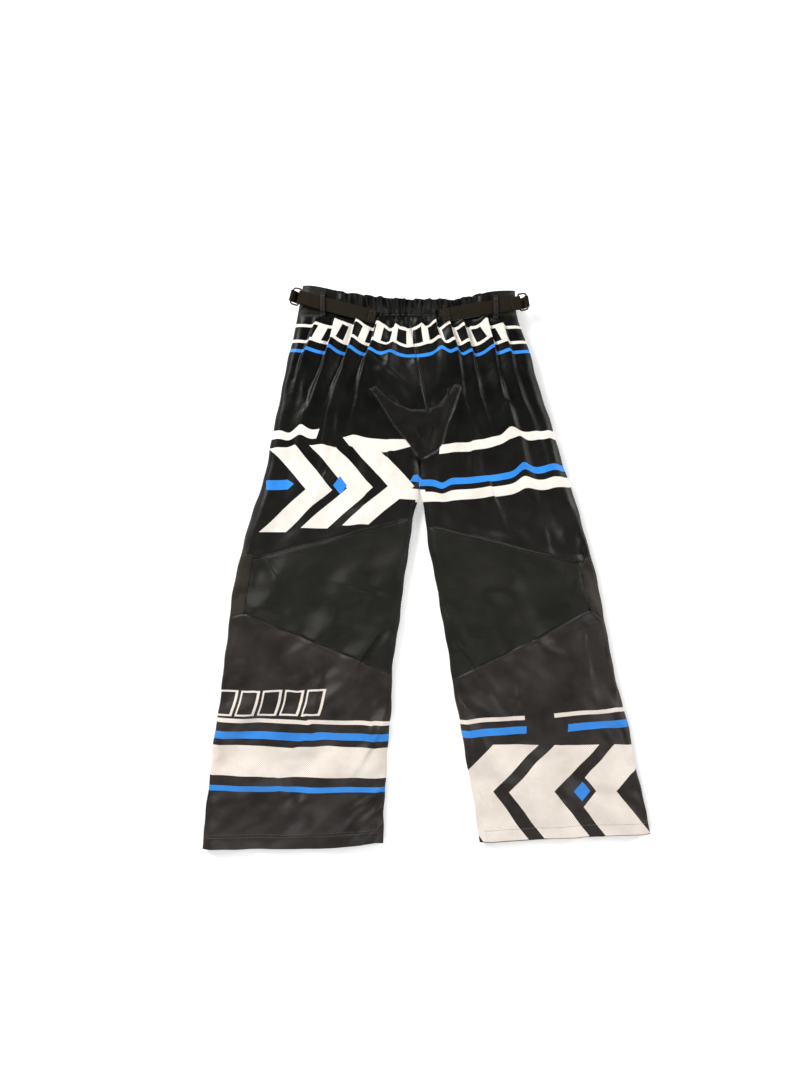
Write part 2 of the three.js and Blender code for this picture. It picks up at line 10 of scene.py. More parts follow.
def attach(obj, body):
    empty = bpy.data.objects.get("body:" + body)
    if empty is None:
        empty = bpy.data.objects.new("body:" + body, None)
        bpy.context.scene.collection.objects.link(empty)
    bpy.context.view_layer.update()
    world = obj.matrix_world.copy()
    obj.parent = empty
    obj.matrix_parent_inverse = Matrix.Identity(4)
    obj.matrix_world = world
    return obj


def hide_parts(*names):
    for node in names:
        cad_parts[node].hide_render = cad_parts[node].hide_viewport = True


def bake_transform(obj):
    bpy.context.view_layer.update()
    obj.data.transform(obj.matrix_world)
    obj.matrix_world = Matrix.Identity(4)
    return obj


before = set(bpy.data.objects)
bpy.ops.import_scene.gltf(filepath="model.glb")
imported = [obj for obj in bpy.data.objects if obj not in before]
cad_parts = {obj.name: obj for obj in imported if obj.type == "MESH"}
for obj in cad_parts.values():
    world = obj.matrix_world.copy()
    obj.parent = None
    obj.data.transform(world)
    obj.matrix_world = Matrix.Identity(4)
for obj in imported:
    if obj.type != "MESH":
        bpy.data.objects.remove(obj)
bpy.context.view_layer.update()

# Shapes are drawn in millimetres on the plan of the laid-out garment. ORIGIN is the middle of the
# CAD model's box on that plan, so placed() gives metres in the part's own frame.
ORIGIN = (0.19, 3.04)
GRID = 4.4  # spacing of the cloth's points
FRONT_GRID = 10.0
rng = np.random.default_rng(20)


def placed(points):
    p = np.asarray(points, float)
    return (p - [ORIGIN[0], ORIGIN[1], 0]) / 1000


# ------------------------------------------------------------------ outline of the laid cloth
HEM = {"left": -528.0, "right": -512.0}
WAIST_SEAM = 478.0
CROTCH = 205.0
CENTRE = -12.0
ROUND = 20.0  # width of the rounded side edges
OUTER = {
    "left": [(-528, -425), (-405, -413), (-177, -383), (-62, -370), (51, -347), (165, -311), (336, -275),
             (478, -244), (545, -232)],
    "right": [(-512, 427), (-405, 406), (-291, 383), (-177, 354), (-62, 334), (51, 307), (194, 263),
              (336, 218), (430, 190), (478, 173), (545, 168)],
}
INNER = {
    "left": [(-528, -81), (-405, -77), (-291, -68), (-177, -62), (-62, -46), (47, -32), (104, -22.5),
             (135, -15), (152, -12.2), (205, -12.2), (225, -12)],
    "right": [(-512, 102), (-405, 85), (-291, 64), (-177, 45), (-62, 26), (47, 5), (104, -2), (135, -8.6),
              (152, -11.8), (205, -11.8), (225, -12)],
}
HEIGHT = [(-528, 18), (-60, 21), (205, 24), (330, 26), (545, 26)]
BASE = [(-528, 0), (205, 0), (330, 4.5), (545, 4.5)]
WAIST_TOP = [(-242, 537), (-233, 537), (-153, 523.5), (-100, 516.5), (-48, 511), (20, 511), (56, 510.5),
             (94, 519), (122, 525), (164, 527.5), (175, 528)]

KNEE_TOP = {
    "left": [(-374, 56), (-350, 38), (-328, 21), (-27, 97), (-16, 100)],
    "right": [(-10, 86), (5, 82), (288, 13), (311, 28), (336, 45)],
}
KNEE_LOW = {
    "left": [(-395, -98), (-370, -89), (-345, -82), (-67, -198), (-40, -209)],
    "right": [(28, -219), (56, -205), (311, -78), (339, -95), (364, -110)],
}
SIDE_EDGE = {
    "left": [(-328, 21), (-345, -82)],
    "right": [(288, 13), (311, -78)],
}
GUSSET = [(-96, 345), (-82, 331), (-58, 312), (-30, 301), (3, 301), (25, 311), (42, 330), (53, 344),
          (65, 337), (41, 284), (29, 236), (20, 226), (-5, 212), (-12, 213), (-56, 270), (-104, 338)]
CROTCH_SEAM = [(-12, 208), (-11, 213)]
CENTRE_SEAM = [(-31, 478), (-22, 430), (-8, 360), (3, 301)]


def through(pairs):
    """A smooth curve through (position, value) pairs, as a function of arrays."""
    x, y = (np.array(v, float) for v in zip(*pairs))
    h = np.diff(x)
    d = np.diff(y) / h
    m = np.concatenate([[d[0]], (d[:-1] * h[1:] + d[1:] * h[:-1]) / (x[2:] - x[:-2]), [d[-1]]])

    def value(at):
        at = np.clip(np.asarray(at, float), x[0], x[-1])
        k = np.clip(np.searchsorted(x, at, "right") - 1, 0, len(x) - 2)
        t = (at - x[k]) / h[k]
        return ((1 + 2 * t) * (1 - t) ** 2 * y[k] + t * (1 - t) ** 2 * h[k] * m[k]
                + t * t * (3 - 2 * t) * y[k + 1] + t * t * (t - 1) * h[k] * m[k + 1])
    return value


def smooth(x, a, b):
    t = np.clip((np.asarray(x, float) - a) / (b - a), 0, 1)
    return t * t * (3 - 2 * t)


outer = {s: through(p) for s, p in OUTER.items()}
inner = {s: through(p) for s, p in INNER.items()}
waist_top = through(WAIST_TOP)


def height(y):
    return np.interp(y, *zip(*HEIGHT))


def base(y):
    return np.interp(y, *zip(*BASE))


def edge_distances(x, y):
    """Distance in plan from the outer edge and from the inseam (far above the crotch) of its half."""
    left = x < CENTRE
    d_out = np.where(left, x - outer["left"](y), outer["right"](y) - x)
    d_in = np.where(left, inner["left"](y) - x, x - inner["right"](y))
    return d_out, np.where(y > CROTCH + 2, np.hypot(x - CENTRE, y - CROTCH - 2), d_in)


def crown(x, y):
    """How far the cloth stands from the tube's middle height, from 0 at its edges to 1."""
    d_out, d_in = edge_distances(x, y)
    a = np.clip(d_out / ROUND, 0, 1)
    b = np.clip(d_in / ROUND, 0, 1)
    return np.sqrt(1 - (1 - a) ** 2) * np.sqrt(1 - (1 - b) ** 2)


# ------------------------------------------------------------------ folds
# Each fold: its two ends on the plan, its height and width, how far it carries the print up or down
# the garment, and its steep side (1 to the right of a fold that runs down, -1 to the left, 0 neither).
# Negative heights are the valleys beside the ridges.
FOLDS = [
    # soft pleats that run down from the gathers: left half, steep on their outer side
    ((-166, 476), (-262, 140), 6.6, 17, 14, -1), ((-126, 476), (-224, 130), 7.0, 18, 15, -1),
    ((-88, 476), (-160, 180), 6.2, 15, 13, -1), ((-206, 470), (-304, 150), 4.2, 19, 6, -1),
    ((-52, 476), (-84, 330), 4.6, 11, 8, -1),
    # right half
    ((14, 476), (36, 322), 6.6, 13, 16, 1), ((38, 476), (94, 240), 5.6, 12, 12, 1),
    ((64, 476), (146, 170), 5.8, 14, 10, 1), ((108, 476), (204, 110), 7.0, 18, 15, 1),
    ((140, 470), (268, 40), 4.6, 19, 6, 1), ((-12, 476), (6, 400), 3.4, 9, 8, 1),
    # seat and gusset
    ((-92, 392), (-22, 320), 8.6, 13, 4, 0), ((-70, 360), (-2, 312), -5.6, 10, 2, 0),
    ((-100, 330), (-52, 300), 3.6, 10, 0, 1), ((14, 268), (0, 218), -4.6, 6, 0, 0),
    ((-24, 268), (-2, 226), 3.4, 9, 0, 1), ((-62, 322), (-22, 262), 2.2, 10, 0, 1),
    ((40, 330), (36, 250), 3.0, 8, 0, 1), ((8, 318), (16, 268), 2.4, 8, 0, -1),
    ((-84, 418), (-44, 352), 6.6, 12, 2, 0), ((-66, 436), (-24, 366), -5.4, 11, 2, 0),
    ((-90, 372), (-44, 326), 5.6, 10, 0, 0), ((20, 440), (24, 350), -5.4, 10, 0, 0),
    ((34, 430), (40, 330), 5.8, 13, 2, 0), ((-20, 392), (2, 330), 4.6, 14, 0, 0),
    # between the pleats
    ((60, 300), (40, 60), 2.0, 16, 2, 0), ((20, 190), (34, 60), 1.6, 10, 0, 0),
    ((-70, 220), (-120, 90), 1.8, 13, 2, -1), ((-190, 180), (-240, 60), 1.8, 14, 2, -1),
    ((120, 160), (160, 40), 1.8, 14, 2, 1), ((-300, 140), (-330, 50), 1.8, 12, 0, 0),
    # kinks that lift the bands where a pleat crosses them
    ((152, 292), (162, 206), 2.4, 13, 13, 0), ((178, 226), (194, 110), 2.4, 14, 13, 0),
    ((30, 190), (34, 118), 2.0, 13, -8, 0), ((-254, 290), (-264, 218), -2.0, 13, -9, 0),
    ((-232, 280), (-240, 220), 1.6, 10, 5, 0), ((236, 280), (246, 130), 1.6, 15, 5, 0),
    # knees
    ((-360, 34), (-250, 4), 1.8, 12, 0, 0), ((-322, -70), (-200, -106), 2.0, 12, 0, 0),
    ((-92, -40), (-268, 0), 2.0, 20, 0, 1), ((-60, -120), (-190, -84), -1.8, 13, 0, 0),
    ((-300, 10), (-250, -60), 1.6, 16, 0, 1), ((64, -50), (232, -24), 1.7, 20, 0, 0),
    ((64, -150), (196, -70), -1.8, 13, 0, 0), ((300, 14), (262, -50), 2.0, 11, 0, 1),
    ((330, 40), (286, 26), -2.8, 7, 0, 0), ((312, 30), (334, -66), 2.2, 9, 0, 0),
    ((300, 26), (296, 120), -2.4, 9, 0, 0), ((340, -96), (200, -150), -1.7, 8, 0, 0),
    # lower legs
    ((-90, -120), (-236, -330), 2.6, 24, 1, 1), ((-86, -300), (-192, -470), 2.6, 17, 1, 1),
    ((-82, -410), (-176, -506), 3.4, 12, 1, 1), ((-84, -450), (-150, -522), 3.0, 9, 0, 1),
    ((-82, -482), (-122, -528), 2.6, 7, 0, 1), ((-330, -120), (-366, -420), 1.7, 22, 0, 0),
    ((-200, -210), (-260, -420), 1.6, 26, 0, 1), ((62, -250), (92, -330), 2.4, 9, 0, 1),
    ((56, -230), (110, -300), -1.8, 8, 0, 0), ((70, -150), (206, -330), 2.2, 24, 1, -1),
    ((345, -120), (398, -400), 2.4, 19, 1, -1), ((300, -130), (330, -330), 1.8, 17, 0, 1),
    ((110, -330), (182, -500), 2.0, 18, 0, -1), ((330, -260), (402, -480), -1.8, 16, 0, 0),
    ((96, -420), (150, -500), 2.0, 10, 0, 1),
]


LOOSE_FOLDS = 46  # on each leg
PUCKERS = 40
GATHERED = (-164, 112)  # where the waist is gathered, along x


def random_folds():
    """Shallower folds between the main ones, along the legs, and the short puckers of the gathers."""
    found = []
    for side in ("left", "right"):
        for _ in range(LOOSE_FOLDS):
            y0 = rng.uniform(-480, 440)
            share = rng.uniform(0.06, 0.94)
            long = rng.uniform(50, 210)
            y1 = max(y0 - long, HEM[side] + 6)
            tilt = rng.normal(0, 0.05) + (0.22 if y0 < -100 else 0.0) * rng.choice([-1, 1])
            ends = []
            for y, s in ((y0, share), (y1, share + tilt)):
                s = min(max(s, 0.03), 0.97)
                ends.append((float(outer[side](y) * (1 - s) + inner[side](y) * s), y))
            strong = 1.5 + 0.3 * float(smooth(y0, 0, 330))
            rise = rng.choice([-1, 1]) * strong * rng.uniform(0.5, 1.1)
            found.append((*ends, rise, rng.uniform(12, 28), rng.normal(0, 1.0), rng.choice([-1, 0, 0, 1])))
    for k in range(PUCKERS):
        x = GATHERED[0] + (GATHERED[1] - GATHERED[0]) * (k + rng.uniform(-0.3, 0.3)) / PUCKERS
        lean = (x + 28) * rng.uniform(0.1, 0.32)
        reach = rng.uniform(20, 80)
        rise = (1 if k % 2 else -1) * rng.uniform(0.9, 2.0)
        found.append(((x, 480), (x + lean, 474 - reach), rise, rng.uniform(4.2, 7.0), rng.normal(0, 2.0), 0))
    return found


ALL_FOLDS = FOLDS + random_folds()


def bend_of(fold, tt, number):
    """How far a fold's line strays sideways from straight, at a share of its length."""
    (x0, y0), (x1, y1) = fold[:2]
    return 0.03 * math.hypot(x1 - x0, y1 - y0) * np.sin(2.4 * tt * math.pi + number) * np.clip(tt, 0, 1)


def folded(x, y):
    """Carries plan points over the folds: (dx, dy, dz)."""
    dx, dy, dz = (np.zeros_like(x) for _ in range(3))
    for number, fold in enumerate(ALL_FOLDS):
        (x0, y0), (x1, y1), rise, wide, carry, steep = fold
        if number < len(FOLDS):
            rise *= 1.0 + 0.9 * float(1 - smooth(y0, 60, 300))
        long = math.hypot(x1 - x0, y1 - y0)
        ux, uy = (x1 - x0) / long, (y1 - y0) / long
        t = ((x - x0) * ux + (y - y0) * uy) / long
        near = (t > -0.3) & (t < 1.3)
        tt = t[near]
        # to the right of a fold that runs down the plan is positive
        d = -((x[near] - x0) * uy - (y[near] - y0) * ux) - bend_of(fold, tt, number)
        body = smooth(tt, -0.22, 0.06) * (1 - smooth(tt, 0.3, 1.2))
        spread = wide * (0.75 + 0.6 * np.clip(tt, 0, 1))
        if steep:
            edge = 3.0 + 22 * smooth(tt, 0.17, 0.75)
            w = np.where(d * steep > 0, np.minimum(edge, spread), spread)
        else:
            w = spread
        hump = body * np.exp(-(np.abs(d / w) ** 1.8))
        dip = body * np.exp(-(((d - steep * spread * 0.55) / (spread * 0.42)) ** 2)) if steep else 0.0
        dz[near] += rise * hump - 0.30 * abs(rise) * dip
        dy[near] += carry * hump
        dx[near] += steep * 0.34 * abs(rise) * hump * (1 - np.clip(tt, 0, 1) * 0.7)
    return dx, dy, dz


TURN = 6.28  # one full turn, near enough


def waves(x, y, sizes, seed, turn=None):
    """Gentle crossing swells: each size with its height; a turn keeps their crests near one heading."""
    out = np.zeros_like(x)
    r = np.random.default_rng(seed)
    for size, high in sizes:
        for _ in range(4):
            a = r.uniform(0, 2 * math.pi) if turn is None else turn + r.normal(0, 0.35)
            p, q = r.uniform(0, TURN, 2)
            c, s = math.cos(a), math.sin(a)
            swerve = 1.1 * np.sin((x * s - y * c) * TURN / (size * 2.9) + q)
            out += high * 0.5 * np.sin((x * c + y * s) * TURN / size + p + swerve)
    return out


def ripple(x, y):
    """Unevenness of the cloth: long soft pleats down the thighs, slanting drapes lower down."""
    d_out, d_in = edge_distances(x, y)
    across = 200 * d_out / (d_out + d_in + 1) * np.where(x < CENTRE, 1, -1)
    thigh = smooth(y, 60, 170)
    out = np.zeros_like(x)
    r = np.random.default_rng(11)
    for size, high in ((71, 2.6), (43, 2.0), (27, 1.0), (17, 0.4)):
        p, q, w = r.uniform(0, TURN, 3)
        turn = across * TURN / size + p + 0.9 * np.sin(y / 95 + q) + 0.5 * np.sin(y / 41 + w)
        strong = 0.7 + 0.3 * np.sin(y / 67 + across / 23 + q)
        out += high * strong * (np.sqrt(np.abs(np.cos(turn / 2)) + 0.03) - 0.6)
    slant = np.where(x < CENTRE, 1, -1) * x
    drapes = waves(slant, y, ((112, 3.4), (66, 1.9), (37, 0.5)), 7, -0.75)
    small = waves(x, y, ((140, 1.2), (52, 0.35), (23, 0.1), (11, 0.05)), 5)
    return thigh * (out * 1.1 + 0.6 * small) + (1 - thigh) * (drapes + 0.9 * small)


def line_distance(x, y, line):
    """(distance, arc length at the nearest point) from a polyline."""
    best = np.full(x.shape, 1e9)
    arc = np.zeros(x.shape)
    run = 0.0
    for (x0, y0), (x1, y1) in zip(line[:-1], line[1:]):
        long = math.hypot(x1 - x0, y1 - y0)
        t = np.clip(((x - x0) * (x1 - x0) + (y - y0) * (y1 - y0)) / long ** 2, 0, 1)
        d = np.hypot(x - x0 - t * (x1 - x0), y - y0 - t * (y1 - y0))
        closer = d < best
        best = np.where(closer, d, best)
        arc = np.where(closer, run + t * long, arc)
        run += long
    return best, arc


FLY_X, FLY_LOW = -24.0, 338.0
FLY_HALF = 5.5
SHARED_SEAMS = [seams[side] for seams in (KNEE_TOP, KNEE_LOW, SIDE_EDGE) for side in ("left", "right")]
SHARED_SEAMS.append(GUSSET + GUSSET[:1])
BACK_SEAMS = [*SHARED_SEAMS, CENTRE_SEAM, CROTCH_SEAM]
FRONT_SEAMS = [*SHARED_SEAMS, [(FLY_X, FLY_LOW), (-22, 301)], CROTCH_SEAM]


def seam_relief(x, y):
    """A groove along each seam with a little fullness beside it that puckers along the stitches."""
    out = np.zeros_like(x)
    for number, line in enumerate(BACK_SEAMS):
        d, arc = line_distance(x, y, line)
        pucker = 0.5 + 0.5 * np.sin(arc / 3.1 + 1.7 * np.sin(arc / 17 + number))
        out += -1.7 * np.exp(-((d / 1.8) ** 2)) + (0.35 + 0.5 * pucker) * np.exp(-(((d - 5.5) / 3.6) ** 2))
    return out


HEM_ROWS = (27.0, 22.0)  # the hem's rows of stitches, above its edge


def hem_relief(x, y):
    """Grooves along the hem's two rows of stitches, and the turn-up's thickness below them."""
    low = np.where(x < CENTRE, HEM["left"], HEM["right"])
    d = y - low - HEM_ROWS[0]
    return -0.7 * np.exp(-((d / 1.6) ** 2)) - 0.55 * np.exp(-(((d + 5) / 1.6) ** 2)) + 0.5 * smooth(-d, 0, 3)


def plan_shift(x, y):
    """What both layers share: uneven side edges, and hems that aren't quite square to the legs."""
    left = x < CENTRE
    tilt = np.where(left, 11 * smooth(x, -216, -79) - 1.5, np.interp(x, [100, 428], [-5, 11]))
    low = np.where(left, HEM["left"], HEM["right"])
    dx = 0.9 * np.sin(y / 23 + np.where(left, 0, 2)) + 0.6 * np.sin(y / 9.1 + x / 140)
    dx = dx * smooth(y, low, low + 40) * (1 - smooth(y, 400, WAIST_SEAM))
    return dx, tilt * (1 - smooth(y, low, low + 150))


BAND_TOP = 30.5  # the level under the straps
# each strap's ring end on the plan, and its direction in degrees
STRAPS = {"left": (-237.7, 513.0, -14.5), "right": (174.8, 503.5, 189.6)}


def under_straps(x, y):
    """Where the strap tails press on the cloth, from 0 to 1."""
    share = np.zeros_like(x)
    for sx, sy, turn in STRAPS.values():
        c, s = math.cos(math.radians(turn)), math.sin(math.radians(turn))
        u, v = (x - sx) * c + (y - sy) * s, (y - sy) * c - (x - sx) * s
        share += smooth(u, 40, 56) * (1 - smooth(u, 150, 160)) * (1 - smooth(np.abs(v), 13.5, 21))
    return share


def back_surface(x, y):
    """Plan points on the back of the garment, as points in space."""
    x, y = np.asarray(x, float), np.asarray(y, float)
    d_out, d_in = edge_distances(x, y)
    free = smooth(np.minimum(d_out, d_in), 0, 16)
    top = 1 - smooth(y, WAIST_SEAM - 14, WAIST_SEAM)
    dx, dy, dz = folded(x, y)
    sx, sy = plan_shift(x, y)
    c = crown(x, y)
    low = np.where(x < CENTRE, HEM["left"], HEM["right"])
    sag = (2.2 + 1.6 * np.sin(x / 47 + 1)) * (1 - smooth(y, low, low + 90))
    z = base(y) + height(y) / 2 * (1 + c) - 2.2 * c + 0.5 * (1 - c) - sag * c
    relief = (dz + ripple(x, y)) * (0.45 + 0.55 * top) + seam_relief(x, y) + hem_relief(x, y)
    puff = 1.6 * smooth(y, WAIST_SEAM - 34, WAIST_SEAM - 12) * (1 - smooth(y, WAIST_SEAM - 10, WAIST_SEAM))
    keep = free * top * smooth(y, low + 4, low + 60)
    z = z + (relief + puff) * free
    z -= under_straps(x, y) * np.maximum(z - BAND_TOP + 0.2, 0)
    return np.stack([x + sx + dx * keep, y + sy + dy * keep, z], -1)


def front_surface(x, y):
    """Plan points on the front of the garment, which lies on the floor."""
    x, y = np.asarray(x, float), np.asarray(y, float)
    c = crown(x, y)
    sx, sy = plan_shift(x, y)
    z = base(y) + height(y) / 2 * (1 - c) + 0.5 + 0.9 * c * (0.5 + 0.5 * np.sin(ripple(x + 90, y) * 2))
    for line in FRONT_SEAMS:
        d, _ = line_distance(x, y, line)
        z = z + 0.6 * np.exp(-((d / 2.0) ** 2)) * c
    return np.stack([x + sx, y + sy, z], -1)


# ------------------------------------------------------------------ printed pattern
WHITE, BLUE, BLACK = "white", "blue", "black"


def band(x0, y0, x1, y1, wide, bow=0.0, cut=0.0):
    """A stripe as a polygon: its middle line's ends, its width, how far it sags, and its ends' slant."""
    t = np.linspace(0, 1, 13)
    xs, ys = x0 + (x1 - x0) * t, y0 + (y1 - y0) * t - bow * (1 - (2 * t - 1) ** 2)
    upper = [(float(a + cut / 2), float(b + wide / 2)) for a, b in zip(xs, ys)]
    lower = [(float(a - cut / 2), float(b - wide / 2)) for a, b in zip(xs, ys)]
    return upper + lower[::-1]


def chevron(x, y, reach, half, thick, lean=0.0):
    """An arrowhead band, 2 * half tall and thick along x, with its inner corner at x + reach."""
    points = [(x, y + half), (x + thick, y + half), (x + thick + reach, y),
              (x + thick, y - half), (x, y - half), (x + reach, y)]
    return [(a + lean * (b - y), b) for a, b in points]


def diamond(x, y, w, h):
    return [(x - w, y), (x, y + h), (x + w, y), (x, y - h)]


def slanted(x, y0, y1, wide, lean):
    """An upright bar whose top leans over."""
    return [(x, y0), (x + wide, y0), (x + wide + lean, y1), (x + lean, y1)]


PRINTS = []  # (colour, polygon, whether it shows on the front layer too); later ones lie on top
# waist: two thin lines with a row of slanted bars between them, and a blue line below
PRINTS += [(WHITE, band(-262, 463, 200, 460, 5.5, 7), True), (WHITE, band(-270, 434, 208, 432, 5.5, 9), True)]
PRINTS += [(BLUE, band(-275, 417, 215, 415, 6, 12), True)]
for k in range(13):
    x = -208 + 28.5 * k
    lean = 15 * math.cos(math.pi * k / 12)
    sag = 7.5 * (1 - ((k - 6) / 7.5) ** 2)
    wide = 17 if k in (0, 1, 11, 12) else 12
    PRINTS.append((WHITE, slanted(x - lean / 2, 434 - sag, 462 - sag, wide, lean), False))
# left thigh
PRINTS += [(WHITE, band(-300, 256, -203, 250, 16, 0, 6), True),
           (WHITE, [(-157, 250), (-39, 247), (-24, 235), (-60, 225), (-125, 223), (-144, 231)], False)]
for k in range(3):
    PRINTS.append((WHITE, chevron(-306 + 78 * k, 151 + 4 * k, 78, 79 - 3 * k, 50, 0.12), False))
PRINTS += [(BLUE, diamond(-163, 160, 13, 17), False),
           (BLUE, [(-303, 169), (-262, 169), (-250, 160), (-262, 151), (-303, 151)], False)]
PRINTS += [(BLUE, [(-25, 180), (-17, 181), (-5, 169), (-5, 166), (-31, 168)], False),
           (WHITE, [(-40, 156), (-2, 152), (-2, 132), (-52, 135)], False)]
# right thigh
PRINTS += [(WHITE, band(26, 228, 262, 258, 17, 3), True),
           (BLUE, band(-14, 165, 284, 196, 12, 6), True), (WHITE, band(-20, 138, 296, 170, 19, 5), True)]
# left lower leg
PRINTS += [(WHITE, band(-420, -283, -60, -291, 8, 0.5), True),
           (BLUE, band(-425, -311, -60, -318, 14, 0.5), True),
           (WHITE, band(-428, -359, -62, -366, 58, 1), True),
           (BLUE, band(-430, -412, -64, -418, 10.5, 1), True)]
for k in range(5):
    x = -404 + 41.5 * k
    PRINTS += [(WHITE, slanted(x, -276, -227, 36, 13), False),
               (BLACK, slanted(x + 4.2, -272.4, -230.6, 27.6, 11.2), False)]
# right lower leg
PRINTS += [(WHITE, band(55, -289, 186, -280, 8), True), (WHITE, band(242, -275, 400, -262, 8), True),
           (BLUE, band(60, -312, 190, -303, 14), True), (BLUE, band(268, -299, 404, -288, 14), True)]
for k in range(3):
    PRINTS.append((WHITE, [(176 - a, b) for a, b in chevron(-28 - 116 * k, -421, 76, 90, 86, -0.1)], False))
PRINTS += [(BLACK, diamond(296, -421, 26, 36), False), (BLUE, diamond(296, -421, 15, 21), False)]


def inside(x, y, polygon):
    hit = np.zeros(x.shape, bool)
    for (x0, y0), (x1, y1) in zip(polygon, polygon[1:] + polygon[:1]):
        if y0 == y1:
            continue
        cross = (y0 > y) != (y1 > y)
        hit ^= cross & (x < (x1 - x0) * (y - y0) / (y1 - y0) + x0)
    return hit


def colour_of(x, y, front):
    number = np.zeros(x.shape, int)
    for colour, polygon, both in PRINTS:
        if front and not both:
            continue
        number[inside(x, y, polygon)] = {BLACK: 0, WHITE: 1, BLUE: 2}[colour]
    return number


# ------------------------------------------------------------------ cloth cut into panels
def sampled(line, gap=4.0):
    """The polyline with points no further apart than gap."""
    out = [line[0]]
    for (x0, y0), (x1, y1) in zip(line[:-1], line[1:]):
        n = max(1, int(math.ceil(math.hypot(x1 - x0, y1 - y0) / gap)))
        out += [(x0 + (x1 - x0) * k / n, y0 + (y1 - y0) * k / n) for k in range(1, n + 1)]
    return out


def with_normals(line, gap):
    """The sampled polyline's points and their unit normals."""
    p = np.array(sampled(line, gap))
    d = np.gradient(p, axis=0)
    return p, np.stack([-d[:, 1], d[:, 0]], -1) / (np.hypot(d[:, 0], d[:, 1])[:, None] + 1e-9)


def beside(line, off):
    p, n = with_normals(line, 4.0)
    return (p + n * off).tolist()


def edge_line(side, which, y0, y1, gap):
    ys = np.linspace(y0, y1, max(2, int(abs(y1 - y0) / gap)))
    xs = (outer if which == "outer" else inner)[side](ys)
    return list(zip(xs.tolist(), ys.tolist()))


def level_line(x0, x1, y, gap):
    """Points between the ends of a line straight across."""
    return [(x, y) for x in np.linspace(x0, x1, int(abs(x1 - x0) / gap))][1:-1]


def garment_outline(gap):
    notch = [(CENTRE, CROTCH + 2)]
    left = edge_line("left", "outer", HEM["left"], WAIST_SEAM, gap)
    right = edge_line("right", "outer", WAIST_SEAM, HEM["right"], gap)
    right_in = edge_line("right", "inner", HEM["right"], CROTCH - 3, gap)
    left_in = edge_line("left", "inner", CROTCH - 3, HEM["left"], gap)
    hem_right = level_line(427, 104, HEM["right"], gap)
    hem_left = level_line(-81, -426, HEM["left"], gap)
    waist = level_line(-244, 173, WAIST_SEAM, gap)
    return left + waist + right + hem_right + right_in + notch + left_in + hem_left


def panel_of(x, y, front):
    """Which panel each plan point is cut from."""
    if front:
        left = x < np.where(y > CROTCH, FLY_X, CENTRE)
    else:
        left = x < np.where(y > 301, np.interp(y, [301, 360, 430, 478], [3, -8, -22, -31]), CENTRE)
    name = np.full(x.shape, "", object)
    for side, mask in (("left", left), ("right", ~left)):
        above = y > np.interp(x, *zip(*KNEE_TOP[side]))
        below = y < np.interp(x, *zip(*KNEE_LOW[side]))
        (xa, ya), (xb, yb) = SIDE_EDGE[side]
        at = np.interp(y, [yb, ya], [xb, xa])
        beside = (x < at) if side == "left" else (x > at)
        name[mask] = f"{side}_knee"
        name[mask & beside] = f"{side}_side"
        name[mask & above] = f"{side}_upper"
        name[mask & below] = f"{side}_lower"
    name[inside(x, y, GUSSET)] = "gusset"
    if front:
        name[(np.abs(x - FLY_X) < FLY_HALF) & (y > FLY_LOW)] = "open"
    return name


def hex_grid(y0, y1, gap):
    found = []
    for k, y in enumerate(np.arange(y0, y1, gap * 0.87)):
        found += [(x, y) for x in np.arange(-430 + (k % 2) * gap / 2, 430, gap)]
    return found


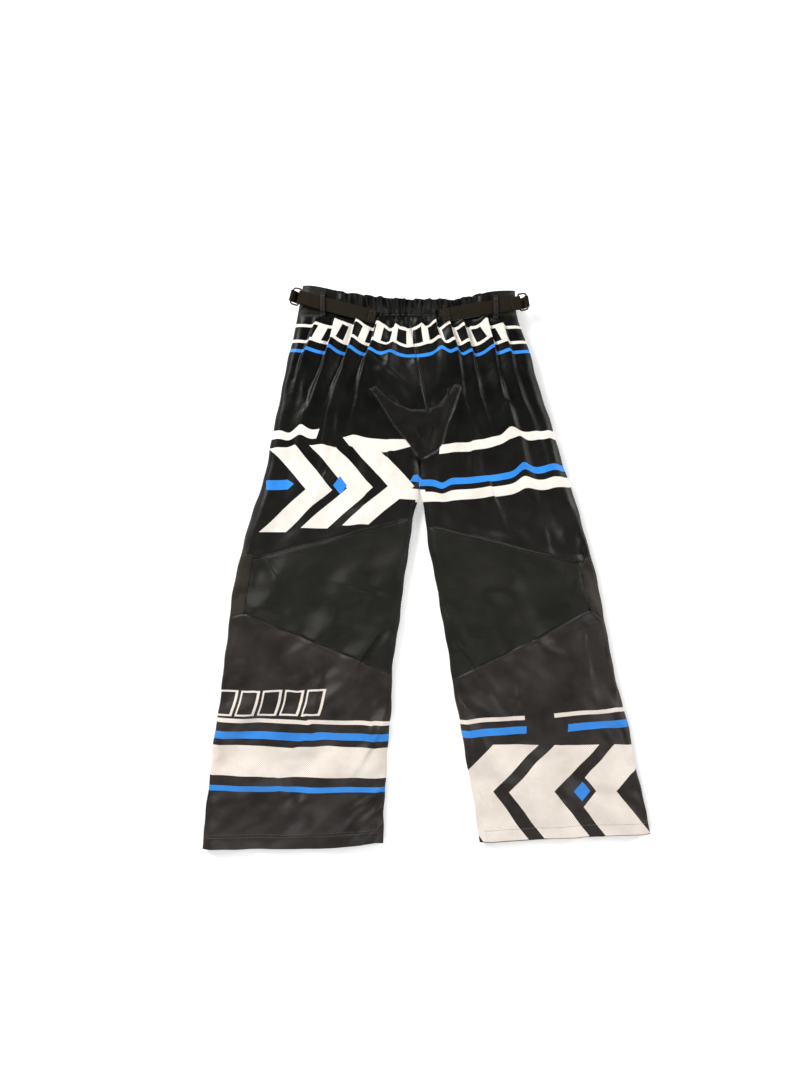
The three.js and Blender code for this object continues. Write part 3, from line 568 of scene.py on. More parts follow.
def cut_cloth(front):
    """The plan cut along seams and prints: points, triangles, and each triangle's panel, colour and area."""
    gap = FRONT_GRID if front else GRID
    outline = garment_outline(gap * 0.8)
    lines = list(FRONT_SEAMS if front else BACK_SEAMS)
    seams = len(lines)
    if front:
        lines += [[(FLY_X + s * FLY_HALF, FLY_LOW), (FLY_X + s * FLY_HALF, WAIST_SEAM)] for s in (-1, 1)]
        lines += [[(FLY_X - FLY_HALF, FLY_LOW), (FLY_X + FLY_HALF, FLY_LOW)]]
    lines += [poly + poly[:1] for _, poly, both in PRINTS if both or not front]
    points, edges = [], []
    for line, closed in [(outline, True)] + [(sampled(line, gap), False) for line in lines]:
        start = len(points)
        points.extend(line)
        edges.extend((start + k, start + k + 1) for k in range(len(line) - 1))
        if closed:
            edges.append((len(points) - 1, start))
    close = []
    if not front:
        for line in lines[:seams]:  # rows that hold the groove beside each seam
            p, n = with_normals(line, 3.5)
            for off in (-5.0, -2.2, 2.2, 5.0):
                close += [tuple(v) for v in p + n * off]
        for number, fold in enumerate(FOLDS):  # and the steep side of each pleat
            (x0, y0), (x1, y1), _, _, _, steep = fold
            if not steep:
                continue
            long = math.hypot(x1 - x0, y1 - y0)
            t = np.arange(0, 0.8, 3.2 / long)
            stray = bend_of(fold, t, number)
            nx, ny = -(y1 - y0) / long, (x1 - x0) / long
            for off in (-1.6, 0.0, 1.5, 3.0, 4.6):
                d = stray + steep * off
                row = np.stack([x0 + (x1 - x0) * t + nx * d, y0 + (y1 - y0) * t + ny * d], -1)
                close += [tuple(v) for v in row.tolist()]
    for side, sign in (("left", 1), ("right", -1)):  # closer rows where the cloth turns over at its edges
        for off in (0.25, 0.9, 2.0, 3.6, 5.8, 8.8, 12.5):
            ys = np.arange(HEM[side] + 1.5, WAIST_SEAM - 1, gap * 1.1)
            close += list(zip((outer[side](ys) + sign * off).tolist(), ys.tolist()))
            ys = np.arange(HEM[side] + 1.5, CROTCH - 8, gap * 1.1)
            close += list(zip((inner[side](ys) - sign * off).tolist(), ys.tolist()))
    wide = hex_grid(-536, 380, gap) + hex_grid(380, WAIST_SEAM, gap * (1 if front else 0.6))
    cell = gap * 0.36
    taken = set()
    near = np.array([p for line in [outline + outline[:1], *lines] for p in sampled(line, 1.2)] + close)
    cells = np.round(near / cell).astype(int)
    for i in (-1, 0, 1):
        for j in (-1, 0, 1):
            taken |= set(zip((cells[:, 0] + i).tolist(), (cells[:, 1] + j).tolist()))
    keys = np.round(np.array(wide) / cell).astype(int).tolist()
    wide = [p for p, key in zip(wide, keys) if tuple(key) not in taken]
    extra = np.array(close + wide)
    extra = extra[inside(extra[:, 0], extra[:, 1], outline)]
    verts = [Vector(p) for p in points] + [Vector(p) for p in extra.tolist()]
    out = delaunay_2d_cdt(verts, edges, [], 0, 1e-4)
    vs = np.array([[v.x, v.y] for v in out[0]])
    tris = np.array([f for f in out[2] if len(f) == 3])
    c = vs[tris].mean(1)
    a, b = vs[tris[:, 1]] - vs[tris[:, 0]], vs[tris[:, 2]] - vs[tris[:, 0]]
    area = (a[:, 0] * b[:, 1] - a[:, 1] * b[:, 0]) / 2
    ok = inside(c[:, 0], c[:, 1], outline) & (np.abs(area) > 1e-4)
    tris, c, area = tris[ok], c[ok], area[ok]
    wrong = area < 0 if not front else area > 0
    tris[wrong] = tris[wrong][:, ::-1]
    return vs, tris, panel_of(c[:, 0], c[:, 1], front), colour_of(c[:, 0], c[:, 1], front), np.abs(area)


def mesh_object(name, points, faces, materials, index=None, uv=None):
    mesh = bpy.data.meshes.new(name)
    mesh.from_pydata([tuple(p) for p in points], [], [tuple(f) for f in faces])
    for m in materials:
        mesh.materials.append(m)
    if index is not None:
        mesh.polygons.foreach_set("material_index", np.asarray(index, np.int32))
    if uv is not None:
        layer = mesh.uv_layers.new(name="flat")
        at = np.zeros(len(mesh.loops), np.int32)
        mesh.loops.foreach_get("vertex_index", at)
        layer.data.foreach_set("uv", np.asarray(uv, np.float32)[at].ravel())
    mesh.polygons.foreach_set("use_smooth", [True] * len(mesh.polygons))
    mesh.update()
    obj = bpy.data.objects.new(name, mesh)
    bpy.context.scene.collection.objects.link(obj)
    return obj


# ------------------------------------------------------------------ materials
class Look:
    """A small helper round one node material."""

    def __init__(self, name, **values):
        self.material = bpy.data.materials.new(name)
        self.material.use_nodes = True
        self.tree = self.material.node_tree
        self.bsdf = self.tree.nodes["Principled BSDF"]
        for key, value in values.items():
            self.put(self.bsdf.inputs[key.replace("_", " ")], value)

    def put(self, socket, value):
        if isinstance(value, bpy.types.NodeSocket):
            self.tree.links.new(value, socket)
        else:
            socket.default_value = value

    def node(self, kind, settings=None, **inputs):
        made = self.tree.nodes.new("ShaderNode" + kind)
        for key, value in (settings or {}).items():
            setattr(made, key, value)
        for key, value in inputs.items():
            self.put(made.inputs[int(key[1:])] if key[1:].isdigit() else made.inputs[key], value)
        return made

    def maths(self, operation, a, b=0.0, c=0.0):
        return self.node("Math", {"operation": operation}, i0=a, i1=b, i2=c).outputs[0]

    def place(self, flat):
        """Coordinates in metres: the cloth's own flat cut, or the object's."""
        if flat:
            return self.node("UVMap", {"uv_map": "flat"}).outputs[0]
        return self.node("TexCoord").outputs["Object"]

    def parts(self, vector):
        return self.node("SeparateXYZ", Vector=vector).outputs

    def noise(self, vector, scale, detail=3.0, rough=0.55):
        texture = self.node("TexNoise", Vector=vector, Scale=scale, Detail=detail, Roughness=rough)
        return texture.outputs["Fac"]

    def spread(self, value, low, high, a=0.0, b=1.0):
        return self.node("MapRange", Value=value, i1=low, i2=high, i3=a, i4=b).outputs[0]

    def blend(self, share, a, b):
        made = self.node("Mix", {"data_type": "RGBA"})
        self.put(made.inputs[0], share)
        self.put(made.inputs[6], a)
        self.put(made.inputs[7], b)
        return made.outputs[2]

    def bump(self, height, distance, strength=1.0, normal=None):
        made = self.node("Bump", Height=height, Distance=distance, Strength=strength)
        if normal is not None:
            self.put(made.inputs["Normal"], normal)
        return made.outputs[0]

    def wave(self, value, pitch, phase=0.0):
        """A sine from 0 to 1 along a coordinate in metres."""
        turned = self.maths("MULTIPLY_ADD", value, 2 * math.pi / pitch, phase)
        return self.maths("MULTIPLY_ADD", self.maths("SINE", turned), 0.5, 0.5)

    def surface(self, colour, rough=None, normal=None):
        for socket, value in (("Base Color", colour), ("Roughness", rough), ("Normal", normal)):
            if value is not None:
                self.put(self.bsdf.inputs[socket], value)
        return self.material


def rgb(r, g, b):
    return (r, g, b, 1.0)


INK = {  # each printed colour: darker, lighter, how rough
    "black": (rgb(0.0006, 0.0009, 0.0006), rgb(0.0026, 0.0030, 0.0024), 0.36),
    "white": (rgb(0.70, 0.66, 0.60), rgb(0.885, 0.85, 0.79), 0.55),
    "blue": (rgb(0.022, 0.19, 0.62), rgb(0.038, 0.29, 0.86), 0.45),
}
MESH_INK = {
    "black": (rgb(0.0085, 0.0066, 0.0056), rgb(0.038, 0.031, 0.027), 0.36),
    "white": (rgb(0.66, 0.585, 0.52), rgb(0.885, 0.815, 0.745), 0.6),
    "blue": (rgb(0.022, 0.18, 0.58), rgb(0.042, 0.30, 0.85), 0.5),
}
# painted sheen: paler colours for the black over the seat and towards the knees; the seat's place below is
# the middle of that sheen
SHEEN_PAINT = (rgb(0.0045, 0.0042, 0.0036), rgb(0.0155, 0.0145, 0.0125))
SEAT_SHEEN_AT = (-0.03, 0.372)  # metres on the flat cut
MESH_PITCH = 0.0042


def satin(name, ink):
    """Shiny twill. The black is painted a little paler towards the knees and over the seat: a painted sheen.
    """
    dark, light, rough = ink
    look = Look(name, Sheen_Weight=0.01, Sheen_Roughness=0.3, Sheen_Tint=rgb(0.9, 0.86, 0.8),
                Specular_IOR_Level=0.18)
    at = look.place(True)
    u, v, _ = look.parts(at)
    cloudy = look.noise(at, 26, 5)
    fine = look.noise(at, 420, 2)
    twill = look.wave(look.maths("ADD", u, v), 0.0011)
    warp = look.wave(u, 0.0021)
    tone = look.maths("MULTIPLY_ADD", fine, 0.35, look.maths("MULTIPLY", cloudy, 0.65))
    printed = look.blend(look.spread(tone, 0.34, 0.66), dark, light)
    if name.endswith("black"):
        # painted sheen: the black is painted paler round the seat and towards the knees
        away = [look.maths("POWER", look.maths("SUBTRACT", w, c), 2.0) for w, c in zip((u, v), SEAT_SHEEN_AT)]
        seat = look.spread(look.maths("POWER", look.maths("ADD", *away), 0.5), 0.02, 0.085, 0.75, 0.0)
        wear_and_sheen = look.maths("MAXIMUM", seat, look.spread(v, 0.09, 0.34, 1.0, 0.0))
        printed = look.blend(wear_and_sheen, printed, look.blend(tone, *SHEEN_PAINT))
    weave = look.maths("MULTIPLY_ADD", twill, 0.6, look.maths("MULTIPLY", warp, 0.25))
    crush = look.bump(look.noise(at, 70, 4, 0.6), 0.0006, 0.5)
    return look.surface(printed, look.spread(cloudy, 0.3, 0.7, rough - 0.05, rough + 0.09),
                        look.bump(look.maths("MULTIPLY_ADD", fine, 0.5, weave), 0.00007, 0.8, crush))


def jersey(name, ink):
    """Knitted mesh with small dimples on a diagonal grid, their holes painted darker as painted shade."""
    dark, light, rough = ink
    look = Look(name, Sheen_Weight=0.04, Sheen_Roughness=0.35, Sheen_Tint=rgb(0.85, 0.75, 0.68),
                Specular_IOR_Level=0.24)
    at = look.place(True)
    u, v, _ = look.parts(at)
    a = look.wave(look.maths("ADD", u, v), MESH_PITCH)
    b = look.wave(look.maths("SUBTRACT", u, v), MESH_PITCH)
    dots = look.spread(look.maths("MULTIPLY", a, b), 0.3, 0.75)
    cloudy = look.noise(at, 17, 5)
    fine = look.noise(at, 500, 2)
    tone = look.maths("MULTIPLY_ADD", look.spread(cloudy, 0.3, 0.7), 0.75, look.maths("MULTIPLY", fine, 0.25))
    # painted shade: the holes are coloured darker than the knit round them
    dimple = 0.16 if dark[0] < 0.01 else 0.74
    shaded_hole = tuple(c * dimple for c in dark[:3]) + (1.0,)
    colour = look.blend(look.maths("MULTIPLY", dots, 0.92), look.blend(tone, dark, light), shaded_hole)
    knit = look.bump(look.wave(v, 0.0009), 0.00006, 0.7, look.bump(look.noise(at, 60, 4, 0.6), 0.0014, 0.5))
    return look.surface(colour, look.spread(cloudy, 0.3, 0.7, rough - 0.04, rough + 0.1),
                        look.bump(look.maths("SUBTRACT", 1.0, dots), 0.00028, 0.8, knit))


def ribbed_knee(name):
    """Tough abrasion cloth: short raised dashes in offset rows."""
    look = Look(name, Sheen_Weight=0.03, Sheen_Roughness=0.4, Sheen_Tint=rgb(0.8, 0.8, 0.7),
                Specular_IOR_Level=0.18)
    at = look.place(True)
    u, v, _ = look.parts(at)
    row = look.wave(v, 0.0024)
    other = look.wave(v, 0.0048)
    column = look.wave(look.maths("MULTIPLY_ADD", look.spread(other, 0.45, 0.55), 0.0017, u), 0.0034)
    dash = look.maths("MULTIPLY", row, look.spread(column, 0.15, 0.6))
    cloudy = look.noise(at, 14, 6)
    fine = look.noise(at, 600, 2)
    tone = look.maths("MULTIPLY", look.spread(cloudy, 0.3, 0.72), 0.45)
    tone = look.maths("MULTIPLY_ADD", dash, 0.55, tone)
    folds = look.bump(look.noise(at, 70, 4, 0.6), 0.0012, 0.45)
    return look.surface(look.blend(tone, rgb(0.0025, 0.0026, 0.0018), rgb(0.020, 0.0196, 0.0145)),
                        look.spread(cloudy, 0.3, 0.7, 0.38, 0.52),
                        look.bump(look.maths("MULTIPLY_ADD", fine, 0.3, dash), 0.00026, 0.9, folds))


def plain_cloth(name, dark, light, rough, pitch=0.0009, flat=True, sheen=0.06, crush=0.0008, shine=0.16):
    """A plain weave with its two sets of threads."""
    look = Look(name, Sheen_Weight=sheen, Sheen_Roughness=0.4, Sheen_Tint=rgb(0.85, 0.8, 0.74),
                Specular_IOR_Level=shine)
    at = look.place(flat)
    u, v, _ = look.parts(at)
    weave = look.maths("ADD", *(look.maths("MULTIPLY", look.wave(u, pitch, turn), look.wave(v, pitch, turn))
                                for turn in (0.0, math.pi)))
    cloudy = look.noise(at, 33, 5)
    tone = look.maths("MULTIPLY", look.spread(cloudy, 0.3, 0.7), 0.75)
    tone = look.maths("MULTIPLY_ADD", weave, 0.25, tone)
    folds = look.bump(look.noise(at, 110, 4, 0.6), crush, 0.5)
    return look.surface(look.blend(tone, dark, light),
                        look.spread(cloudy, 0.3, 0.7, rough - 0.05, rough + 0.06),
                        look.bump(weave, 0.0001, 0.8, folds))


def webbing_look(name):
    """Ribs across the webbing that lean into shallow chevrons."""
    look = Look(name, Sheen_Weight=0.03, Sheen_Roughness=0.4, Sheen_Tint=rgb(0.9, 0.82, 0.66),
                Specular_IOR_Level=0.1)
    at = look.place(True)
    u, v, _ = look.parts(at)
    ribs = look.wave(u, 0.0019)
    threads = look.wave(v, 0.0008)
    chevrons = look.wave(look.maths("ADD", u, look.maths("MULTIPLY", look.maths("ABSOLUTE", v), 0.7)), 0.0019)
    cloudy = look.noise(at, 60, 4)
    tone = look.maths("MULTIPLY_ADD", chevrons, 0.45, look.maths("MULTIPLY", cloudy, 0.5))
    cross = look.bump(threads, 0.00008, 0.7)
    return look.surface(look.blend(tone, rgb(0.0008, 0.0005, 0.0001), rgb(0.0200, 0.0145, 0.0050)),
                        look.spread(cloudy, 0.3, 0.7, 0.5, 0.66),
                        look.bump(look.maths("MULTIPLY_ADD", chevrons, 0.5, ribs), 0.00025, 0.8, cross))


def hooks_look(name, loops):
    look = Look(name, Roughness=0.85, Sheen_Weight=0.6 if loops else 0.15, Sheen_Roughness=0.6)
    at = look.place(False)
    cells = look.node("TexVoronoi", Vector=at, Scale=900 if loops else 700).outputs["Distance"]
    fuzz = look.noise(at, 1500, 3)
    colour = look.blend(look.maths("MULTIPLY", cells, fuzz), rgb(0.006, 0.006, 0.006), rgb(0.03, 0.03, 0.03))
    return look.surface(colour, normal=look.bump(look.maths("ADD", cells, fuzz), 0.0004, 0.9))


def moulded(name):
    look = Look(name, Specular_IOR_Level=0.5, Coat_Weight=0.15, Coat_Roughness=0.3)
    at = look.place(False)
    scuffs = look.noise(at, 240, 4, 0.7)
    large = look.spread(look.noise(at, 70, 2), 0.35, 0.65)
    return look.surface(look.blend(large, rgb(0.008, 0.008, 0.008), rgb(0.016, 0.016, 0.015)),
                        look.spread(scuffs, 0.4, 0.75, 0.3, 0.5), look.bump(scuffs, 0.00006, 0.5))


def blackened(name):
    look = Look(name, Metallic=1.0)
    at = look.place(False)
    wear_and_sheen = look.noise(at, 310, 4, 0.7)
    grain = look.noise(at, 1800, 2)
    colour = look.blend(look.spread(wear_and_sheen, 0.45, 0.7), rgb(0.045, 0.045, 0.048), rgb(0.26, 0.255, 0.25))
    return look.surface(colour, look.spread(wear_and_sheen, 0.35, 0.7, 0.32, 0.5), look.bump(grain, 0.00005, 0.5))


def thread_look(name, *colour):
    look = Look(name, Roughness=0.6, Sheen_Weight=0.3)
    twist = look.noise(look.place(False), 1700, 2)
    darker = rgb(*(c * 0.6 for c in colour))
    return look.surface(look.blend(twist, darker, rgb(*colour)), normal=look.bump(twist, 0.0001, 0.6))


SATIN = [satin("satin_" + k, v) for k, v in INK.items()]
JERSEY = [jersey("jersey_" + k, v) for k, v in MESH_INK.items()]
KNEE = ribbed_knee("knee_cloth")
SIDE = plain_cloth("side_cloth", rgb(0.012, 0.010, 0.0075), rgb(0.034, 0.029, 0.022), 0.55, 0.0014)
STRETCH = plain_cloth("gusset_cloth", rgb(0.0012, 0.0010, 0.0006), rgb(0.0062, 0.0055, 0.0036), 0.56, 0.0011)
ELASTIC = plain_cloth("casing_cloth", rgb(0.0008, 0.0011, 0.0008), rgb(0.0042, 0.0048, 0.0038), 0.36, 0.0010,
                      sheen=0.01, crush=0.0004, shine=0.11)
YOKE = plain_cloth("yoke_cloth", rgb(0.005, 0.0044, 0.0036), rgb(0.015, 0.0135, 0.0112), 0.42, 0.0012,
                   sheen=0.03, crush=0.0012, shine=0.2)
LINING, LINING_AT = (plain_cloth(name, rgb(0.010, 0.010, 0.010), rgb(0.024, 0.023, 0.022), 0.7, 0.0008,
                                 flat=flat)
                     for name, flat in (("lining_cloth", True), ("lining_cloth_small", False)))
RUBBER = plain_cloth("elastic_tape", rgb(0.016, 0.016, 0.017), rgb(0.05, 0.05, 0.05), 0.7, 0.0015)
WEBBING = webbing_look("webbing_ribbed")
HOOKS = hooks_look("hook_side", False)
LOOPS = hooks_look("loop_side", True)
PLASTIC = moulded("ring_moulded")
METAL = blackened("zip_blackened")
THREAD = thread_look("thread_black", 0.012, 0.0115, 0.011)
GREY_THREAD = thread_look("thread_grey", 0.15, 0.14, 0.125)
MAUVE_THREAD = thread_look("thread_mauve", 0.27, 0.19, 0.20)
DIM_THREAD = thread_look("thread_dim", 0.075, 0.07, 0.06)
NYLON = thread_look("zip_coil_nylon", 0.03, 0.03, 0.03)
LOOP_CLOTH = plain_cloth("belt_loop_cloth", rgb(0.009, 0.009, 0.009), rgb(0.022, 0.021, 0.02), 0.45, 0.0011)


# ------------------------------------------------------------------ the cloth pieces
NODE_OF = {"gusset": "crotch_gusset"}
for _side in ("left", "right"):
    NODE_OF[f"{_side}_side"] = f"{_side}_side_knee_panel"
    for _part in ("upper", "knee", "lower"):
        NODE_OF[f"{_side}_{_part}"] = f"{_side}_{{layer}}_{_part}_panel"
CLOTHS = {  # each kind of panel: its material slot, and its materials by printed colour
    "upper": ("black_polyester", SATIN), "knee": ("knee_fabric", [KNEE]), "lower": ("mesh_jersey", JERSEY),
    "side": ("side_fabric", [SIDE]), "gusset": ("gusset_fabric", [STRETCH]),
}
KNEE_SPAN = {"left": (20, -80), "right": (12, -77)}


def bend_at_knee(obj, side):
    """For cloth that crosses the knee, between the garment and the lower leg: works out the knee's span and
    bakes the cloth's placement into its points.
    """
    high, low = KNEE_SPAN[side]
    start, end = placed([[0, high, 12], [0, low, 12]])
    tuple(start)
    tuple(end)
    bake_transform(obj)


def stands_for(obj, slot, *nodes):
    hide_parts(*nodes)


def gather_pieces():
    """Every panel's points, faces, colours and flat area; side panels and the gusset take both layers."""
    found = {}
    for layer in ("back", "front"):
        front = layer == "front"
        vs, tris, panel, colour, area = cut_cloth(front)
        points = placed((front_surface if front else back_surface)(vs[:, 0], vs[:, 1]))
        for name in sorted(set(panel) - {"open", ""}):
            mine = panel == name
            used, again = np.unique(tris[mine], return_inverse=True)
            key = NODE_OF[name].format(layer=layer)
            kind = name.split("_")[-1]
            index = colour[mine] if len(CLOTHS[kind][1]) > 1 else np.zeros(mine.sum(), int)
            flat = vs[used] / 1000
            if front:
                flat = flat + [0, 3.0]
            found.setdefault(key, (kind, name.split("_")[0], []))[2].append(
                (points[used], again.reshape(-1, 3), index, flat, float(area[mine].sum()) / 1e6))
    return found


for key, (kind, side, layers) in sorted(gather_pieces().items()):
    slot, cloths = CLOTHS[kind]
    starts = np.cumsum([0] + [len(layer[0]) for layer in layers])
    faces = np.concatenate([layer[1] + start for layer, start in zip(layers, starts)])
    points, index, flat = (np.concatenate([layer[k] for layer in layers]) for k in (0, 2, 3))
    piece = mesh_object(key.replace("_panel", "") + "_cloth", points, faces, cloths, index, uv=flat)
    if kind in ("knee", "side"):
        bend_at_knee(piece, side)
    else:
        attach(piece, f"{side}_lower_leg" if kind == "lower" else "garment")
    stands_for(piece, slot, key)
    spans = [layer[3].max(0) - layer[3].min(0) for layer in layers]
    # the layers of a folded piece lie end to end
    along, other = (max, sum) if kind == "gusset" else (sum, max)
    cut = (float(along(s[0] for s in spans)), float(other(s[1] for s in spans)))
    total = sum(layer[4] for layer in layers)
    ["floor"] if "front" in key else ["front_layer"]


# ------------------------------------------------------------------ waistband
PLEATS = []
_x = -166.0
while _x < GATHERED[1]:
    _ranges = (3.6, 6.0), (2.8, 4.2), (-0.10, 0.10), (-1.5, 1.5)
    PLEATS.append((_x, *(rng.uniform(*ends) for ends in _ranges)))
    _x += rng.uniform(8.5, 13.5)


def in_gathers(x):
    return smooth(x, -172, -150) * (1 - smooth(x, 88, 118))


def level(y, c, deep):
    """Height of the back layer, deep under its crown c."""
    return base(y) + height(y) / 2 * (1 + c) - deep


def rounded(d):
    """The crown at a distance from a side edge."""
    return np.sqrt(1 - (1 - np.clip(d / ROUND, 0, 1)) ** 2)


def gathers(x, t):
    """The casing's pleats; t goes from the seam (0) to the top edge (1)."""
    out = np.zeros_like(x)
    for at, high, wide, lean, drift in PLEATS:
        d = x - at - lean * (t - 0.5) * 50 - drift * np.sin(t * 5)
        strong = 0.62 + 0.5 * np.abs(t - 0.42) * 2 * (0.7 + 0.3 * math.sin(at))
        valleys = np.exp(-(((np.abs(d) - wide * 1.75) / 1.9) ** 2))
        out += high * strong * np.exp(-np.abs(d / wide) ** 1.7) - 1.1 * strong * valleys
    return out * in_gathers(x)


def sheet_grid(name, columns, rows, where, materials, up=True, index=None):
    """A grid of cloth. where(s, t), both from 0 to 1, gives points and flat-cut coordinates in mm."""
    s, t = np.meshgrid(np.linspace(0, 1, columns), np.asarray(rows, float))
    points, flat = where(s.ravel(), t.ravel())
    n = len(rows)
    faces = []
    for j in range(n - 1):
        for i in range(columns - 1):
            a = j * columns + i
            quad = (a, a + 1, a + 1 + columns, a + columns)
            faces.append(quad if up else quad[::-1])
    return mesh_object(name, placed(points), faces, materials, index, uv=np.asarray(flat) / 1000)


CASING_MIDDLE = 505.0
CASING_DEEP = 3.3  # how far the casing lies under the top of the crown


def casing(layer):
    """Where the back casing lies, for a layer's depth under its outer face."""
    def where(s, t):
        xl, xr = outer["left"](CASING_MIDDLE), outer["right"](CASING_MIDDLE)
        share = 0.55 * (0.5 - 0.5 * np.cos(np.pi * s)) + 0.45 * s
        x = xl + (xr - xl) * share
        rise = np.clip(t, 0, 1)
        y = WAIST_SEAM + (waist_top(x) - 1.2 * layer - WAIST_SEAM) * rise
        x = x + (outer["left"](y) - xl) * (1 - share) + (outer["right"](y) - xr) * share
        d = np.minimum(x - outer["left"](y), outer["right"](y) - x)
        c = rounded(d)
        relief = gathers(x, rise) * smooth(d, 0, 14)
        deep = CASING_DEEP * c + 1.3 * layer * np.maximum(c, 0.3)
        z = level(y, c, deep) + relief * (1 - 0.2 * layer) + 0.5 * (1 - c)
        edge_pull = -1.1 * np.exp(-(((rise - 0.06) / 0.05) ** 2)) * smooth(d, 0, 14)
        ruffle = 1.5 * np.sin(x / 4.6 + 1.6 * np.sin(x / 17)) * smooth(rise, 0.75, 1.0) * in_gathers(x)
        y = y + 0.8 * ruffle
        return np.stack([x, y, z + edge_pull + 0.35 * ruffle], -1), np.stack([x * 1.5, y], -1)
    return where


outer_face, inner_face = casing(0), casing(1.6)


def casing_with_turn(s, t):
    """Outer face, then round over the top edge to the inner one."""
    flat_top = np.clip(t, 0, 1)
    p, flat = outer_face(s, flat_top)
    q, _ = inner_face(s, flat_top)
    over = np.clip((t - 1) / 0.15, 0, 1)[:, None]
    middle = (p + q) / 2 + (p - q) / 2 * np.cos(np.pi * over)
    middle[:, 1] += 1.6 * np.sin(np.pi * over[:, 0])
    return np.where(t[:, None] > 1, middle, p), flat + np.stack([t * 0, 3 * over[:, 0]], -1)


YOKE_SHARE = 0.17  # of the casing's width: smooth yokes of a lighter cloth at both ends
rows = list(np.linspace(0, 1, 26)) + [1.03, 1.06, 1.09, 1.12, 1.15]
columns = 520
middle = np.tile((np.arange(columns - 1) + 0.5) / (columns - 1), len(rows) - 1)
yokes = ((middle < YOKE_SHARE) | (middle > 1 - YOKE_SHARE)).astype(int)
band_back = sheet_grid("back_waistband_cloth", columns, rows, casing_with_turn, [ELASTIC, YOKE], index=yokes)
facing_back = sheet_grid("back_facing_cloth", 300, np.linspace(0, 1, 12), casing(1.6), [LINING], up=False)
ribbon_back = sheet_grid("waistband_elastic_tape", 300, np.linspace(0.06, 0.94, 8), casing(0.8), [RUBBER])
for obj, node, slot, fullness, tall in ((band_back, "back_waistband", "elastic", 1.25, 0.056),
                                        (facing_back, "back_waistband_facing", "lining", 1.15, 0.052),
                                        (ribbon_back, "waistband_elastic", "elastic", 1.1, 0.047)):
    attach(obj, "garment")
    stands_for(obj, slot, node)


def front_band(side, depth):
    """Half of the front waistband; depth counts from its outer face, which lies against the floor side."""
    def where(s, t):
        bow = 1 - np.cos(np.pi / 2 * s)
        edge = outer[side](CASING_MIDDLE)
        top = waist_top(np.clip(edge + (FLY_X - edge) * bow, -242, 175)) - 2 + 6 * np.sin(np.pi / 2 * s)
        y = WAIST_SEAM + (top - WAIST_SEAM) * t
        x_out = outer[side](y)
        x_in = FLY_X - 1.0 if side == "left" else FLY_X + 1.0
        x = x_out + (x_in - x_out) * bow
        d = np.abs(x - x_out)
        c = rounded(d)
        soft = 0.5 * np.sin(x / 9 + 4) * np.sin(y / 7) * smooth(d, 0, 20)
        z = base(y) + height(y) / 2 * (1 - c) + 0.5 + 0.4 * c + depth * (0.3 + 0.7 * c) + soft * 0.5
        stitched = 0.5 * (np.exp(-(((t - 0.07) / 0.03) ** 2)) + np.exp(-(((t - 0.93) / 0.03) ** 2)))
        return np.stack([x, y, z + stitched * c * (depth < 0.1)], -1), np.stack([x, y + 3000], -1)
    return where


for side in ("left", "right"):
    up = side == "right"
    for name, node, depth, material, slot in (
            ("waistband", "front_waistband", 0.0, SATIN[0], "black_polyester"),
            ("interfacing", "front_interfacing", 1.2, LINING, "lining"),
            ("facing", "front_facing", 2.6, LINING, "lining")):
        where = front_band(side, depth)
        obj = sheet_grid(f"{side}_front_{name}_cloth", 110, np.linspace(0, 1, 24), where, [material], up=up)
        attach(obj, "garment")
        stands_for(obj, slot, f"{side}_{node}")


# ------------------------------------------------------------------ hems
HEM_POINTS = 130
HEM_STEPS = [(0.0, 0.0), (-0.5, 0.25), (-0.8, 0.8), (-0.5, 1.35), (0.6, 1.6), (8, 1.7), (17, 1.8), (25, 1.7),
             (26.5, 1.2)]


def hem_piece(side):
    """The turn-up: rings round the leg's end, each at a rise above the hem and a depth inside the cloth."""
    even = np.linspace(0, 1, HEM_POINTS)
    s = 0.6 * (0.5 - 0.5 * np.cos(np.pi * even)) + 0.4 * even
    rings, flats = [], []
    for rise, deep in HEM_STEPS:
        y = HEM[side] + max(rise, 0.0)
        xo, xi = outer[side](y), inner[side](y)
        x = xo + (xi - xo) * s
        middle_z = float(base(y) + height(y) / 2)
        back = back_surface(x, np.full_like(x, y))
        front = front_surface(x[::-1], np.full_like(x, y))
        ring = np.concatenate([back, front])
        xm = (xo + xi) / 2
        ring[:, 1] += min(rise, 0.0)
        at_side = np.abs(ring[:, 0] - xm) > abs(xi - xo) / 2 - 20
        inward = np.clip((xm - ring[:, 0]) / 8, -1, 1) * at_side
        ring += deep * np.stack([inward, 0 * inward, np.clip((middle_z - ring[:, 2]) / 3, -1, 1)], -1)
        rings.append(ring)
        flats.append(np.stack([np.concatenate([x, x[::-1] + 1000]), np.full(2 * len(s), y + rise)], -1))
    n = len(rings[0])
    points, flat = np.concatenate(rings), np.concatenate(flats)
    faces = []
    for j in range(len(HEM_STEPS) - 1):
        for i in range(n):
            a, b = j * n + i, j * n + (i + 1) % n
            faces.append((a, a + n, b + n, b))
    centre = points[np.array(faces)].mean(1)
    index = colour_of(centre[:, 0], centre[:, 1], False)
    obj = mesh_object(f"{side}_hem_cloth", placed(points), faces, JERSEY, index, uv=flat / 1000)
    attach(obj, f"{side}_lower_leg")
    stands_for(obj, "mesh_jersey", f"{side}_hem_turn_up")


for side in ("left", "right"):
    hem_piece(side)


# ------------------------------------------------------------------ straps, rings and loops
STRAP_WIDE = 25.0
BAR_Z, LOOP_AT = 4.0, 44.5


def strap_frame(side):
    x, y, turn = STRAPS[side]
    c, s = math.cos(math.radians(turn)), math.sin(math.radians(turn))

    def to_plan(points):
        p = np.asarray(points, float)
        u, v, rise = p[:, 0], p[:, 1], p[:, 2]
        return np.stack([x + u * c - v * s, y + u * s + v * c, BAND_TOP + rise], -1)
    return to_plan


